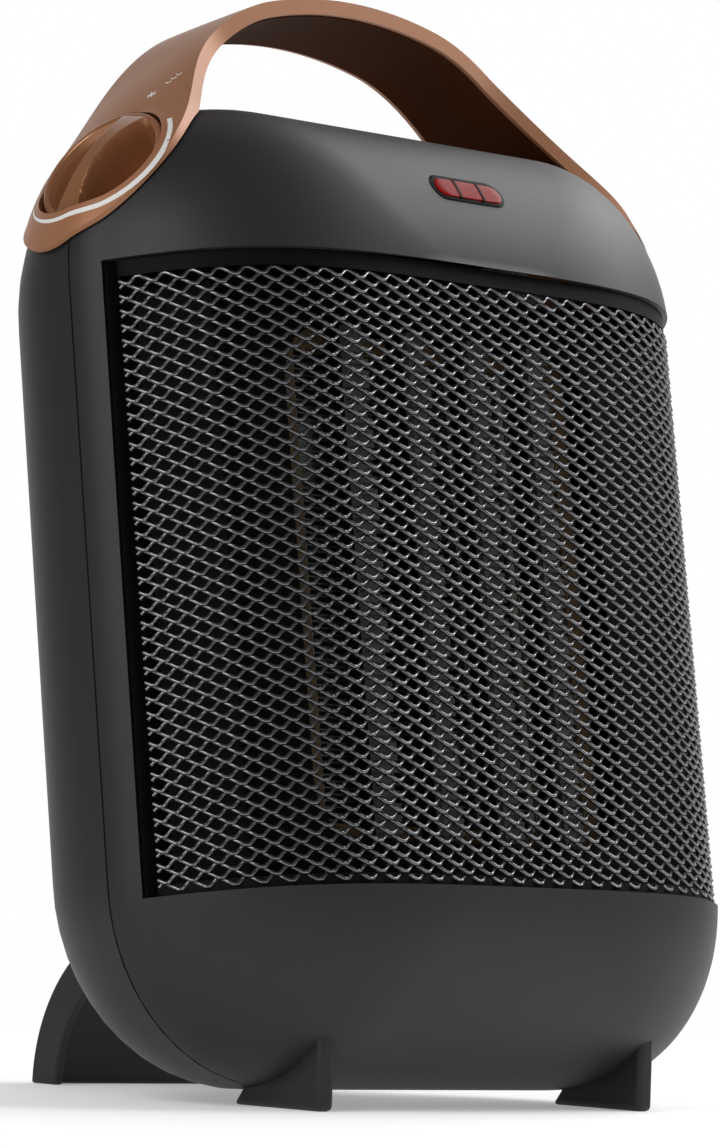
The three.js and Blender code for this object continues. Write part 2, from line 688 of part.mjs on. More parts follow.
function fanDuct() {
  const half = DUCT_HOLE + DUCT_WALL + 3;
  const plateBack = DUCT_FRONT + DUCT_WALL;
  const plate = slab(half, CORE - half - 5, CORE + half + 5, 10, DUCT_FRONT, plateBack);
  const collar = rod(DUCT_HOLE + DUCT_WALL, [0, DUCT_FRONT, CORE], DUCT_LENGTH + DUCT_WALL, 48);
  const hole = rod(DUCT_HOLE, [0, DUCT_FRONT - 2, CORE], DUCT_LENGTH + 20, 48);
  const posts = postPlaces().map(([x, z]) =>
    solid(rod(DUCT_POST, [x, DUCT_FRONT, z], MOTOR_FRONT + MOTOR_STACK + GAP - DUCT_FRONT, 12)));
  return join(cut(solid(plate), solid(hole)), cut(solid(collar), solid(hole)), ...posts);
}

// Posts on the duct that carry the motor bracket.
function postPlaces() {
  const reach = DUCT_HOLE + DUCT_WALL + 1.5;
  return [-1, 1].map((side) => [side * reach, CORE]);
}

function fanRotor() {
  const hub = solid(rod(FAN_HUB, [0, 0, 0], FAN_DEPTH, 32));
  const blades = [];
  for (let i = 0; i < BLADE_COUNT; i++) {
    const low = [-BLADE_THICKNESS / 2, -BLADE_CHORD / 2, FAN_HUB - 3];
    const blade = block(low, [BLADE_THICKNESS / 2, BLADE_CHORD / 2, FAN_RADIUS - 1]);
    blade.rotateZ(rad(BLADE_PITCH)).translate(0, FAN_DEPTH / 2, 0);
    blade.rotateY((i * 2 * Math.PI) / BLADE_COUNT);
    blades.push(solid(blade));
  }
  const envelope = solid(rod(FAN_RADIUS, [0, 0, 0], FAN_DEPTH, 40));
  const bore = solid(rod(SHAFT_RADIUS + GAP, [0, 4, 0], FAN_DEPTH, 16));
  return cut(join(hub, ...blades).intersect(envelope), bore);
}

function motorShaft() {
  const length = MOTOR_FRONT + MOTOR_STACK + 6 - FAN_FRONT - 4 - GAP;
  return rod(SHAFT_RADIUS, [0, 4 + GAP, 0], length, 16);
}

function motorStator() {
  const low = CORE - MOTOR_HEIGHT / 2;
  const back = MOTOR_FRONT + MOTOR_STACK;
  const stack = slab(MOTOR_WIDTH / 2, low, low + MOTOR_HEIGHT, 5, MOTOR_FRONT, back);
  const bore = rod(MOTOR_BORE, [0, MOTOR_FRONT - 2, CORE], MOTOR_STACK + 4, 24);
  return cut(solid(stack), solid(bore));
}

function motorCoil() {
  const top = CORE - MOTOR_HEIGHT / 2 - GAP;
  const back = MOTOR_FRONT + MOTOR_STACK - 1;
  return slab(COIL_WIDTH / 2, top - COIL_HEIGHT, top, 3, MOTOR_FRONT + 1, back);
}

function motorBracket() {
  const front = MOTOR_FRONT + MOTOR_STACK + 2 * GAP;
  const [, [reach]] = postPlaces();
  const half = BRACKET_HEIGHT / 2;
  const strap = slab(reach + 5, CORE - half, CORE + half, 4, front, front + BRACKET_THICKNESS);
  const hole = rod(SHAFT_RADIUS + 0.6, [0, front - 2, CORE], 8, 16);
  return cut(solid(strap), solid(hole));
}

// ---- Rear stand ----
// A quarter-round skirt, drawn in side view on the floor: skin and two cheeks.
function rearStand() {
  const arc = (radius) => {
    const points = [];
    for (let i = 0; i <= 12; i++) {
      const angle = (Math.PI / 2) * (i / 12);
      points.push(new THREE.Vector2(STAND_CENTRE + radius * Math.cos(angle), radius * Math.sin(angle)));
    }
    return points;
  };
  const ring = (outer, inner, half) => {
    const shape = new THREE.Shape([...arc(outer), ...arc(inner).reverse()]);
    const body = new THREE.ExtrudeGeometry(shape, { depth: 2 * half, bevelEnabled: false });
    body.applyMatrix4(new THREE.Matrix4().set(0, 0, 1, 0, 1, 0, 0, 0, 0, 1, 0, 0, 0, 0, 0, 1));
    return body.translate(-half, 0, 0);
  };
  const half = STAND_WIDTH / 2;
  const inner = STAND_RADIUS - STAND_THICKNESS;
  const whole = solid(ring(STAND_RADIUS, inner, half).applyMatrix4(bodyMatrix().invert()));
  const hollow = ring(STAND_RADIUS - STAND_SKIN, inner - 5, half - STAND_SKIN);
  const pocket = solid(hollow.applyMatrix4(bodyMatrix().invert()));
  const shellSpace = halfForm(1, REAR_DEPTH, -GAP, 0);
  const pads = standScrewPlaces().map(([x]) => {
    const high = [x + 6, STAND_SEAT + 8, STAND_SCREW_Z + 10];
    return solid(block([x - 6, 40, STAND_SCREW_Z - 6], high));
  });
  const outerOnly = solid(ring(STAND_RADIUS, 1, half).applyMatrix4(bodyMatrix().invert()));
  const body = join(cut(whole, pocket), ...pads.map((pad) => pad.intersect(outerOnly)));
  return cut(body, shellSpace, belowFloor(), ...standScrewHoles());
}

function standScrewPlaces() {
  return [-1, 1].map((side) => [side * (STAND_WIDTH / 2 - STAND_SCREW_INSET), STAND_SCREW_Z]);
}

function standScrewHoles() {
  return standScrewPlaces().map(([x, z]) => solid(rod(SCREW_SHANK + GAP, [x, 30, z], 50, 12)));
}

// ---- Small parts ----
// The slanted-ended pill of the indicator, grown by a clearance, between two depths.
function lensBody(grow, front, back) {
  const form = {
    halfWidth: LENS_WIDTH / 2 + grow,
    low: LENS_HEIGHT_ON_BODY - LENS_HEIGHT / 2 - grow,
    high: LENS_HEIGHT_ON_BODY + LENS_HEIGHT / 2 + grow,
    radius: LENS_HEIGHT / 2 + grow - 0.2,
  };
  return solid(loft([roundedLoop(form, front, 5), roundedLoop(form, back, 5)]));
}

function indicatorLens() {
  const under = halfForm(-1, FRONT_DEPTH, 0.5, -FRONT_SEAM);
  return lensBody(0, -FRONT_DEPTH, -33).intersect(under);
}

function indicatorLamp() {
  const lamp = new THREE.CylinderGeometry(2.2, 2.2, 16, 12).rotateZ(Math.PI / 2);
  return lamp.translate(0, -29, LENS_HEIGHT_ON_BODY);
}

function screw(length) {
  const profile = [
    [0, 0],
    [SCREW_SHANK, 0],
    [SCREW_SHANK, length],
    [SCREW_HEAD, length],
    [SCREW_HEAD, length + SCREW_HEAD_HEIGHT * 0.6],
    [SCREW_HEAD * 0.7, length + SCREW_HEAD_HEIGHT],
    [0, length + SCREW_HEAD_HEIGHT],
  ].map(([radius, height]) => new THREE.Vector2(radius, height));
  return new THREE.LatheGeometry(profile, 10);
}

function cordGland() {
  const profile = [
    [GLAND_BORE, -8],
    [GLAND_RADIUS, -8],
    [GLAND_RADIUS, GAP],
    [GLAND_FLANGE, GAP],
    [GLAND_FLANGE - 1, 5],
    [GLAND_BORE, 5],
    [GLAND_BORE, -8],
  ].map(([radius, height]) => new THREE.Vector2(radius, height));
  return new THREE.LatheGeometry(profile, 24);
}

function tipSwitchHousing() {
  const [width, depth, height] = TIP_BOX;
  const half = width / 2;
  const outer = solid(block([-half, 0, 0], [half, depth, height]));
  const low = [TIP_WALL - half, -1, TIP_WALL];
  const inner = solid(block(low, [half - TIP_WALL, depth - TIP_WALL, height - TIP_WALL]));
  const [, pinHeight] = TIP_PIN;
  const pin = solid(rod(TIP_PIN_RADIUS, [0, 3, pinHeight], depth - TIP_WALL - 2.5, 12));
  return join(cut(outer, inner), pin);
}

// Weight that hangs from the housing's pin; its origin is on the pin.
function tipPendulum() {
  const arm = solid(block([-1.6, 0, -12], [1.6, 4, 1]));
  const eye = solid(rod(3.2, [0, 0, 0], 4, 20));
  const weight = solid(rod(5, [0, -2, -12], 9, 20));
  const hole = solid(rod(TIP_PIN_RADIUS + GAP, [0, -1, 0], 7, 12));
  return cut(join(arm, eye, weight), hole);
}

function thermalCutOut() {
  const disc = solid(rod(8, [0, 0, 0], 5, 24));
  const base = solid(block([-11, 5, -4], [11, 7, 4]));
  return join(disc, base);
}

function terminalBlock() {
  const [width, depth, height] = TERMINAL_SIZE;
  const base = solid(block([-width / 2, 0, 0], [width / 2, depth, height]));
  const places = [-TERMINAL_PITCH, 0, TERMINAL_PITCH];
  const slots = places.map((x) => solid(block([x - 3, -1, height - 6], [x + 3, depth - 3, height + 1])));
  return cut(base, ...slots);
}

// ---- Assembly ----
function finish(colour, roughness, metalness) {
  return new THREE.MeshStandardMaterial({ color: colour, roughness, metalness });
}

const CHARCOAL = [0x3a3a3b, 0.5, 0.0];
const BLACK = [0x121213, 0.55, 0.0];
const BRONZE = [0xa5785a, 0.38, 0.35];
const DARK_STEEL = [0x1a1a1b, 0.4, 0.8];
const STEEL = [0x9a9a9c, 0.35, 1.0];
const ALUMINIUM = [0xb8babc, 0.4, 1.0];
const CERAMIC = [0xd8d2c4, 0.8, 0.0];
const MICA = [0x6d5a3e, 0.7, 0.0];
const COPPER = [0xb0623a, 0.4, 0.9];
const RED = [0xa01414, 0.15, 0.0];
const AMBER = [0xe08a50, 0.2, 0.0];
const WHITE = [0xe6e6e2, 0.5, 0.0];

const body = new THREE.Group();
body.applyMatrix4(bodyMatrix());

function add(name, shape, look, x = 0, y = 0, z = 0) {
  const geometry = shape.isBufferGeometry ? shape : geometryOf(shape);
  const mesh = new THREE.Mesh(geometry, finish(...look));
  mesh.name = name;
  mesh.position.set(x, y, z);
  body.add(mesh);
  return mesh;
}

function addAt(name, shape, look, frame) {
  const mesh = add(name, shape, look);
  mesh.applyMatrix4(frame);
  return mesh;
}

function addCasing() {
  add("front_shell", frontShell(), CHARCOAL);
  add("rear_shell", rearShell(), CHARCOAL);
  add("handle", handle(), BRONZE);
  add("rear_stand", rearStand(), BLACK);
  screwPlaces().forEach(([x, z], i) => {
    add(`case_screw_${i + 1}`, screw(WELL_FLOOR + GAP - SCREW_TIP), STEEL, x, SCREW_TIP, z);
  });
  standScrewPlaces().forEach(([x, z], i) => {
    const mesh = add(`stand_screw_${i + 1}`, screw(STAND_SCREW_LENGTH), STEEL, x, STAND_SCREW_TIP, z);
    mesh.rotateX(Math.PI);
  });
  add("cord_gland", cordGland(), BLACK, GLAND_X, GLAND_SEAT, GLAND_Z);
}

function addControls() {
  addAt("thermostat_knob", knob(), BRONZE, LEFT_KNOB);
  addAt("thermostat_spindle", spindle(), STEEL, LEFT_KNOB);
  addAt("thermostat_body", controlCan(), STEEL, LEFT_KNOB);
  addAt("selector_knob", knob(), BRONZE, RIGHT_KNOB);
  addAt("selector_spindle", spindle(), STEEL, RIGHT_KNOB);
  addAt("selector_switch", switchBlock(), WHITE, RIGHT_KNOB);
  add("indicator_lens", indicatorLens(), RED);
  add("indicator_lamp", indicatorLamp(), AMBER);
}

function addHeater() {
  add("front_grille", frontGrille(), DARK_STEEL);
  add("outlet_grid", outletGrid(), BLACK);
  add("element_frame", elementFrame(), MICA);
  for (let i = 0; i < STRIP_COUNT; i++) {
    const x = (i - (STRIP_COUNT - 1) / 2) * (STRIP_WIDTH + STRIP_GAP);
    add(`heating_strip_${i + 1}`, heatingStrip(), ALUMINIUM, x, ELEMENT_FRONT + 1, CORE);
  }
  for (let i = 0; i < STRIP_COUNT - 1; i++) {
    const x = (i - (STRIP_COUNT - 2) / 2) * (STRIP_WIDTH + STRIP_GAP);
    const half = STRIP_GAP / 2 - GAP;
    const bar = block([-half, 0, -STRIP_HEIGHT / 2], [half, STRIP_DEPTH - 2, STRIP_HEIGHT / 2]);
    add(`ceramic_bar_${i + 1}`, bar, CERAMIC, x, ELEMENT_FRONT + 2, CORE);
  }
}

function addFan() {
  add("fan_duct", fanDuct(), BLACK);
  add("fan_rotor", fanRotor(), WHITE, 0, FAN_FRONT, CORE);
  add("motor_shaft", motorShaft(), STEEL, 0, FAN_FRONT, CORE);
  add("motor_stator", motorStator(), STEEL);
  add("motor_coil", motorCoil(), COPPER);
  add("motor_bracket", motorBracket(), STEEL);
}

function addWiring() {
  const cutOutY = ELEMENT_FRONT + ELEMENT_DEPTH - 14;
  const cutOutRise = STRIP_HEIGHT / 2 + ELEMENT_RIM + 8 + 2 * GAP;
  add("thermal_cut_out", thermalCutOut(), WHITE, 0, cutOutY, CORE + cutOutRise);
  const [tipX, tipY, tipZ] = TIP_PLACE;
  const [behind, above] = TIP_PIN;
  add("tip_switch_housing", tipSwitchHousing(), WHITE, tipX, tipY, tipZ);
  add("tip_pendulum", tipPendulum(), STEEL, tipX, tipY + behind, tipZ + above);
  add("terminal_block", terminalBlock(), WHITE, ...TERMINAL_PLACE);
  const routes = {
    wire_supply: [[60, 38, 22], [50, 36, 8], [28, 30, -6], [11, 25, -16]],
    wire_thermostat: [[-62, 18, 152], [-70, 24, 120], [-71, 26, 60], [-50, 26, 0], [-11, 25, -16]],
    wire_selector: [[62, 18, 152], [70, 24, 120], [71, 26, 60], [40, 24, 4], [0, 25, -16]],
  };
  for (const [name, points] of Object.entries(routes)) {
    add(name, tubeAlong(points, WIRE_RADIUS, 14), BLACK);
  }
}

addCasing();
addControls();
addHeater();
addFan();
addWiring();

// The origin is the middle of the bounding box on the floor.
const part = new THREE.Group();
part.add(body);
part.updateMatrixWorld(true);
const bounds = new THREE.Box3().setFromObject(part, true);
body.position.y -= (bounds.min.y + bounds.max.y) / 2;

export default part;
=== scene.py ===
# %% [markdown]
# A compact ceramic fan heater: two moulded shells that meet in a seam, a bowed grille of expanded
# steel, and a bronze strap handle whose two flared ends each hold a rotary knob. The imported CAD
# part is the fixed frame. Every cell below makes one visible piece or finish around it.
import math

import bmesh
import bpy
import numpy as np
from mathutils import Matrix, Vector


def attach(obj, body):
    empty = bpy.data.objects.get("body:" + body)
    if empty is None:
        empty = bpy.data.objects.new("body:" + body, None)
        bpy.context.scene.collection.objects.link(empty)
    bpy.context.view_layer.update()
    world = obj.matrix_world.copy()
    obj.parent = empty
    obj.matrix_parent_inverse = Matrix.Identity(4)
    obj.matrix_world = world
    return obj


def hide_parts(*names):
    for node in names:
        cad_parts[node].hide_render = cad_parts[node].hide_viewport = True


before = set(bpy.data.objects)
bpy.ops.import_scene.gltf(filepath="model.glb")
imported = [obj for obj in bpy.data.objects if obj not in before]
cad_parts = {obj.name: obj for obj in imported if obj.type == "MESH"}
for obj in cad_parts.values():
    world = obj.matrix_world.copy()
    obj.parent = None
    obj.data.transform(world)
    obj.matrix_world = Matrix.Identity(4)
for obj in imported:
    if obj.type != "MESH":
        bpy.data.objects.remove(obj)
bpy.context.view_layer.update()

# %% [markdown]
# The body leans back, so its pieces are easiest to draw upright in the body's own axes, in
# millimetres: u to the right, v rearwards from the seam, w upwards from the grille sill. One small
# function then leans and lifts any list of such points into the frame of the part, in metres.

# %% The body's own axes
LEAN = math.radians(9.6)
SEAM_BACK = -25.74
SEAM_LIFT = 47.6
MM = 0.001


def to_part(points):
    u, v, w = np.asarray(points, float).reshape(-1, 3).T
    back = SEAM_BACK + v * math.cos(LEAN) + w * math.sin(LEAN)
    up = SEAM_LIFT - v * math.sin(LEAN) + w * math.cos(LEAN)
    return np.column_stack([u, back, up]) * MM


def on_floor(points):
    """Points given as right, back from the seam's foot and up from the floor."""
    x, y, z = np.asarray(points, float).reshape(-1, 3).T
    return np.column_stack([x, y + SEAM_BACK, z]) * MM


print("grille sill at the seam is at", to_part([(0, 0, 0)])[0].round(4))

# %% [markdown]
# A piece is a mesh whose object stays at the origin. Its faces are smoothed, and edges sharper than
# an angle stay crisp, as the edges of a moulding do.

# %% Making a piece
def link(mesh, name):
    piece = bpy.data.objects.new(name, mesh)
    bpy.context.scene.collection.objects.link(piece)
    return piece


def smooth(mesh, angle=32):
    mesh.polygons.foreach_set("use_smooth", [True] * len(mesh.polygons))
    mesh.set_sharp_from_angle(angle=math.radians(angle))


def tidy(mesh, outward=True, merge=0.00001):
    """Merges doubles and points the faces outwards."""
    bm = bmesh.new()
    bm.from_mesh(mesh)
    bmesh.ops.remove_doubles(bm, verts=bm.verts, dist=merge)
    bmesh.ops.dissolve_degenerate(bm, edges=bm.edges, dist=merge / 2)
    bmesh.ops.recalc_face_normals(bm, faces=bm.faces)
    if outward:
        middle = sum((v.co for v in bm.verts), Vector()) / len(bm.verts)
        lean = sum(f.normal.dot(f.calc_center_median() - middle) * f.calc_area() for f in bm.faces)
        if lean < 0:
            bmesh.ops.reverse_faces(bm, faces=bm.faces)
    bm.to_mesh(mesh)
    bm.free()


def shape(name, points, faces, place=to_part, outward=True, angle=32):
    mesh = bpy.data.meshes.new(name)
    mesh.from_pydata(place(points).tolist(), [], faces)
    tidy(mesh, outward)
    smooth(mesh, angle)
    return link(mesh, name)


def grid_faces(rows, columns, start=0, closed=False):
    """Quads between rows of points. closed joins each row's end to its start."""
    faces = []
    for i in range(rows - 1):
        for j in range(columns if closed else columns - 1):
            k = (j + 1) % columns
            a, b = start + i * columns + j, start + i * columns + k
            faces.append((a, b, b + columns, a + columns))
    return faces


def loft(name, loops, place=to_part, angle=32):
    """A closed body through loops of equal length, with flat ends."""
    count = len(loops[0])
    points = [p for loop in loops for p in loop]
    faces = grid_faces(len(loops), count, closed=True)
    faces.append(tuple(range(count)))
    faces.append(tuple(range(len(points) - count, len(points))))
    return shape(name, points, faces, place, angle=angle)


def finished(piece, finish, slot, body="root", *nodes):
    """Gives a piece its finish and its place among the moving bodies."""
    piece.data.materials.clear()
    piece.data.materials.append(finish)
    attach(piece, body)
    if nodes:
        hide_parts(*nodes)
    print(piece.name, len(piece.data.polygons), "faces")
    return piece


def baked(piece):
    """The piece with its modifiers turned into a plain mesh."""
    view = bpy.context.evaluated_depsgraph_get()
    mesh = bpy.data.meshes.new_from_object(piece.evaluated_get(view))
    piece.modifiers.clear()
    piece.data = mesh
    return piece


def cut_away(piece, *cutters, angle=32):
    for cutter in cutters:
        step = piece.modifiers.new("cut", "BOOLEAN")
        step.object = cutter
        step.operation = "DIFFERENCE"
        step.solver = "EXACT"
    baked(piece)
    smooth(piece.data, angle)
    return piece


def rounded_edges(piece, width, angle=50, segments=2):
    step = piece.modifiers.new("edges", "BEVEL")
    step.width = width * MM
    step.segments = segments
    step.limit_method = "ANGLE"
    step.angle_limit = math.radians(angle)
    step.harden_normals = False
    return piece


# %% [markdown]
# Finishes. The charcoal and black mouldings are spark-eroded plastic: a very fine grain that breaks
# up the gloss. A fine noise drives both a shallow bump and a little roughness, and a broad, faint one
# varies the colour, so that no large surface is quite even.

# %% Finishes
def linear(red, green, blue):
    """A colour as measured on a screen, 0 to 255, in linear light."""
    shares = [c / 255 for c in (red, green, blue)]
    return [c / 12.92 if c <= 0.04045 else ((c + 0.055) / 1.055) ** 2.4 for c in shares] + [1.0]


def finish(name, colour, rough, metal=0.0, grain=2500, bump=0.1, bump_depth=0.00004, swing=0.06,
           vary=0.12, coat=0.0, specular=0.5, stretch=(1, 1, 1)):
    made = bpy.data.materials.new(name)
    made.use_nodes = True
    nodes, links = made.node_tree.nodes, made.node_tree.links
    shader = nodes["Principled BSDF"]
    shader.inputs["Metallic"].default_value = metal
    shader.inputs["Specular IOR Level"].default_value = specular
    shader.inputs["Coat Weight"].default_value = coat
    shader.inputs["Coat Roughness"].default_value = 0.12
    where = nodes.new("ShaderNodeTexCoord")
    spread = nodes.new("ShaderNodeMapping")
    spread.inputs["Scale"].default_value = stretch
    links.new(where.outputs["Object"], spread.inputs["Vector"])
    fine = nodes.new("ShaderNodeTexNoise")
    fine.inputs["Scale"].default_value = grain
    fine.inputs["Detail"].default_value = 3
    links.new(spread.outputs["Vector"], fine.inputs["Vector"])
    broad = nodes.new("ShaderNodeTexNoise")
    broad.inputs["Scale"].default_value = 18
    links.new(where.outputs["Object"], broad.inputs["Vector"])
    tone = nodes.new("ShaderNodeMix")
    tone.data_type = "RGBA"
    tone.inputs["A"].default_value = [c * (1 - vary) for c in colour[:3]] + [1]
    tone.inputs["B"].default_value = [min(c * (1 + vary), 1) for c in colour[:3]] + [1]
    links.new(broad.outputs["Fac"], tone.inputs["Factor"])
    links.new(tone.outputs["Result"], shader.inputs["Base Color"])
    gloss = nodes.new("ShaderNodeMapRange")
    gloss.inputs["To Min"].default_value = max(rough - swing, 0.02)
    gloss.inputs["To Max"].default_value = min(rough + swing, 1)
    links.new(fine.outputs["Fac"], gloss.inputs["Value"])
    links.new(gloss.outputs["Result"], shader.inputs["Roughness"])
    relief = nodes.new("ShaderNodeBump")
    relief.inputs["Strength"].default_value = bump
    relief.inputs["Distance"].default_value = bump_depth
    links.new(fine.outputs["Fac"], relief.inputs["Height"])
    links.new(relief.outputs["Normal"], shader.inputs["Normal"])
    return made


CHARCOAL = finish("charcoal_shell", linear(36, 36, 37), 0.5, grain=2600, bump=0.35, vary=0.05,
                  specular=0.35)
BLACK = finish("black_moulding", linear(7, 7, 7), 0.6, grain=1800, bump=0.2, specular=0.1)
RUBBER = finish("black_rubber", linear(18, 18, 18), 0.7, grain=1500, bump=0.3)
BRONZE = finish("satin_bronze", linear(166, 114, 82), 0.44, metal=0.2, grain=3500, bump=0.12, vary=0.04,
                specular=0.35)
POLISHED = finish("polished_bronze", linear(158, 106, 72), 0.24, metal=0.3, grain=3200, bump=0.02,
                  vary=0.04)
# Painted shade: a dark brown that stands in for the shadow on the underside of the handle's strap.
PAINTED_SHADE_UNDERSIDE = finish("dark_underside", linear(66, 34, 14), 0.7, grain=1800, bump=0.15, specular=0.02)
ENAMEL = finish("black_enamel", linear(112, 112, 114), 0.24, metal=0.9, grain=900, bump=0.08)
STEEL = finish("bright_steel", linear(170, 170, 172), 0.3, metal=1.0, grain=700, bump=0.05)
ALUMINIUM = finish("fin_aluminium", linear(182, 184, 188), 0.38, metal=1.0, grain=600, bump=0.08)
PALE = finish("pale_plastic", linear(214, 214, 208), 0.45, grain=900, bump=0.08)
GREY_BARS = finish("grey_bars", linear(84, 84, 86), 0.5, grain=900, bump=0.1)
CERAMIC = finish("ceramic", linear(214, 208, 194), 0.75, grain=900, bump=0.3)
MICA = finish("mica", linear(120, 98, 68), 0.6, grain=120, bump=0.2, stretch=(1, 8, 1))
COPPER = finish("copper_wire", linear(184, 108, 66), 0.35, metal=1.0, grain=900, bump=0.4,
                stretch=(1, 1, 6))
PRINT = finish("white_print", linear(238, 236, 232), 0.4, grain=1500, bump=0.05, vary=0.02)
RED = finish("red_lens", linear(140, 13, 11), 0.3, grain=700, bump=0.02, specular=0.05)
AMBER = finish("amber_lamp", linear(226, 140, 84), 0.15, grain=700, bump=0.02, coat=0.5)
print(len(bpy.data.materials), "finishes")

# %% [markdown]
# Camera. A long lens keeps the upright edges of the body nearly parallel. It stands at the front
# left and looks slightly upwards, turned a little about its own axis.

# %% Camera
VIEW_TURN = math.radians(-41.51)
VIEW_RISE = math.radians(3.54)
VIEW_ROLL = math.radians(2.24)
LENS_RATIO = 5022.68 / 1148
VIEW_OFFSET = Vector((17.49, 7.4, 1260.0))

ahead = Vector((-math.sin(VIEW_TURN) * math.cos(VIEW_RISE),
                math.cos(VIEW_TURN) * math.cos(VIEW_RISE), math.sin(VIEW_RISE)))
level = ahead.cross(Vector((0, 0, 1))).normalized()
above = level.cross(ahead)
across = level * math.cos(VIEW_ROLL) + above * math.sin(VIEW_ROLL)
upward = above * math.cos(VIEW_ROLL) - level * math.sin(VIEW_ROLL)
aim = Vector((0, SEAM_BACK, 140.0))
place = aim - across * VIEW_OFFSET.x - upward * VIEW_OFFSET.y - ahead * VIEW_OFFSET.z

lens = bpy.data.cameras.new("camera")
lens.sensor_width = 36
lens.lens = 36 * LENS_RATIO
lens.clip_start, lens.clip_end = 0.05, 30
camera = bpy.data.objects.new("camera", lens)
turn = Matrix((across, upward, -ahead)).transposed()
camera.matrix_world = Matrix.Translation(place * MM) @ turn.to_4x4()
bpy.context.scene.collection.objects.link(camera)
bpy.context.scene.camera = camera
print("camera at", [round(x, 3) for x in camera.matrix_world.translation], "lens", round(lens.lens, 1))

# %% [markdown]
# A pale matt floor reaches from far in front of the heater to a little behind it and glows faintly,
# so that it meets the surround without a dark edge. The surround is bright straight ahead of the
# camera and dim elsewhere, which leaves the shaping of the dark mouldings to three large soft lamps.

# %% Floor and light
def soft_light(name, place, size, power, aim=(0, 0, 0.14)):
    light = bpy.data.lights.new(name, "AREA")
    light.shape = "RECTANGLE"
    light.size, light.size_y = size
    light.energy = power
    lamp = bpy.data.objects.new(name, light)
    lamp.location = place
    lamp.rotation_euler = (Vector(aim) - Vector(place)).to_track_quat("-Z", "Y").to_euler()
    bpy.context.scene.collection.objects.link(lamp)


FLOOR_HALF, FLOOR_FRONT, FLOOR_BACK, FLOOR_GLOW = 1500, -2500, 420, 0.3
SKY_NARROW, SKY_WIDE, SKY_DIM, SKY_BRIGHT = 0.93, 0.55, 0.16, 1.0

FLOOR_LOOK = finish("pale_floor", [0.93, 0.93, 0.93, 1], 0.8, grain=40, bump=0.0, vary=0.01,
                    specular=0.2)
glow = FLOOR_LOOK.node_tree.nodes["Principled BSDF"]
glow.inputs["Emission Color"].default_value = (1, 1, 1, 1)
glow.inputs["Emission Strength"].default_value = FLOOR_GLOW
floor = shape("floor", [(-FLOOR_HALF, FLOOR_FRONT, 0), (FLOOR_HALF, FLOOR_FRONT, 0),
                        (FLOOR_HALF, FLOOR_BACK, 0), (-FLOOR_HALF, FLOOR_BACK, 0)],
              [(0, 1, 2, 3)], place=lambda p: np.asarray(p, float) * MM, outward=False)
floor.data.materials.append(FLOOR_LOOK)

surround = bpy.data.worlds.new("white_surround")
surround.use_nodes = True
surround.node_tree.nodes["Background"].inputs["Color"].default_value = (1, 1, 1, 1)
sky = surround.node_tree
where = sky.nodes.new("ShaderNodeTexCoord")
facing = sky.nodes.new("ShaderNodeVectorMath")
facing.operation = "DOT_PRODUCT"
facing.inputs[1].default_value = ahead
fade = sky.nodes.new("ShaderNodeMapRange")
fade.inputs["From Min"].default_value = SKY_WIDE
fade.inputs["From Max"].default_value = SKY_NARROW
fade.inputs["To Min"].default_value = SKY_DIM
fade.inputs["To Max"].default_value = SKY_BRIGHT
sky.links.new(where.outputs["Generated"], facing.inputs[0])
sky.links.new(facing.outputs["Value"], fade.inputs["Value"])
sky.links.new(fade.outputs["Result"], sky.nodes["Background"].inputs["Strength"])
bpy.context.scene.world = surround
bpy.context.scene.view_settings.view_transform = "Standard"
soft_light("key_left", (-1.2, -0.35, 0.8), (0.5, 0.8), 8)
soft_light("fill_right", (1.1, -0.5, 0.9), (0.4, 0.8), 7)
soft_light("top", (0.95, 0.0, 1.0), (0.8, 0.7), 8)
print("floor and light ready")

# %% [markdown]
# Pieces that repeat (slots, fins, ribs, screws) are drawn once and copied by two small node trees:
# one steps a piece along a line, the other sets a piece down at each of a few points. The result is
# turned into a plain mesh, so that nothing is left to recompute.

# %% Copying along a line and at points
def tree(name, **inputs):
    made = bpy.data.node_groups.new(name, "GeometryNodeTree")
    made.interface.new_socket("Geometry", in_out="INPUT", socket_type="NodeSocketGeometry")
    for label, kind in inputs.items():
        made.interface.new_socket(label, in_out="INPUT", socket_type="NodeSocket" + kind)
    made.interface.new_socket("Geometry", in_out="OUTPUT", socket_type="NodeSocketGeometry")
    return made, made.nodes.new("NodeGroupInput"), made.nodes.new("NodeGroupOutput")


def last_steps(made, given, out, geometry):
    real = made.nodes.new("GeometryNodeRealizeInstances")
    paint = made.nodes.new("GeometryNodeSetMaterial")
    made.links.new(geometry, real.inputs["Geometry"])
    made.links.new(real.outputs["Geometry"], paint.inputs["Geometry"])
    made.links.new(given.outputs["Finish"], paint.inputs["Material"])
    made.links.new(paint.outputs["Geometry"], out.inputs["Geometry"])


ALONG, given, out = tree("copies_along_a_line", Count="Int", Step="Vector", Finish="Material")
row = ALONG.nodes.new("GeometryNodeMeshLine")
each = ALONG.nodes.new("GeometryNodeInstanceOnPoints")
ALONG.links.new(given.outputs["Count"], row.inputs["Count"])
ALONG.links.new(given.outputs["Step"], row.inputs["Offset"])
ALONG.links.new(row.outputs["Mesh"], each.inputs["Points"])
ALONG.links.new(given.outputs["Geometry"], each.inputs["Instance"])
last_steps(ALONG, given, out, each.outputs["Instances"])

AT_POINTS, given, out = tree("copies_at_points", Item="Object", Finish="Material")
item = AT_POINTS.nodes.new("GeometryNodeObjectInfo")
each = AT_POINTS.nodes.new("GeometryNodeInstanceOnPoints")
AT_POINTS.links.new(given.outputs["Item"], item.inputs["Object"])
AT_POINTS.links.new(given.outputs["Geometry"], each.inputs["Points"])
AT_POINTS.links.new(item.outputs["Geometry"], each.inputs["Instance"])
last_steps(AT_POINTS, given, out, each.outputs["Instances"])


def run_tree(piece, made, **values):
    step = piece.modifiers.new(made.name, "NODES")
    step.node_group = made
    for socket in made.interface.items_tree:
        if socket.in_out == "INPUT" and socket.name in values:
            step[socket.identifier] = values[socket.name]
    return baked(piece)


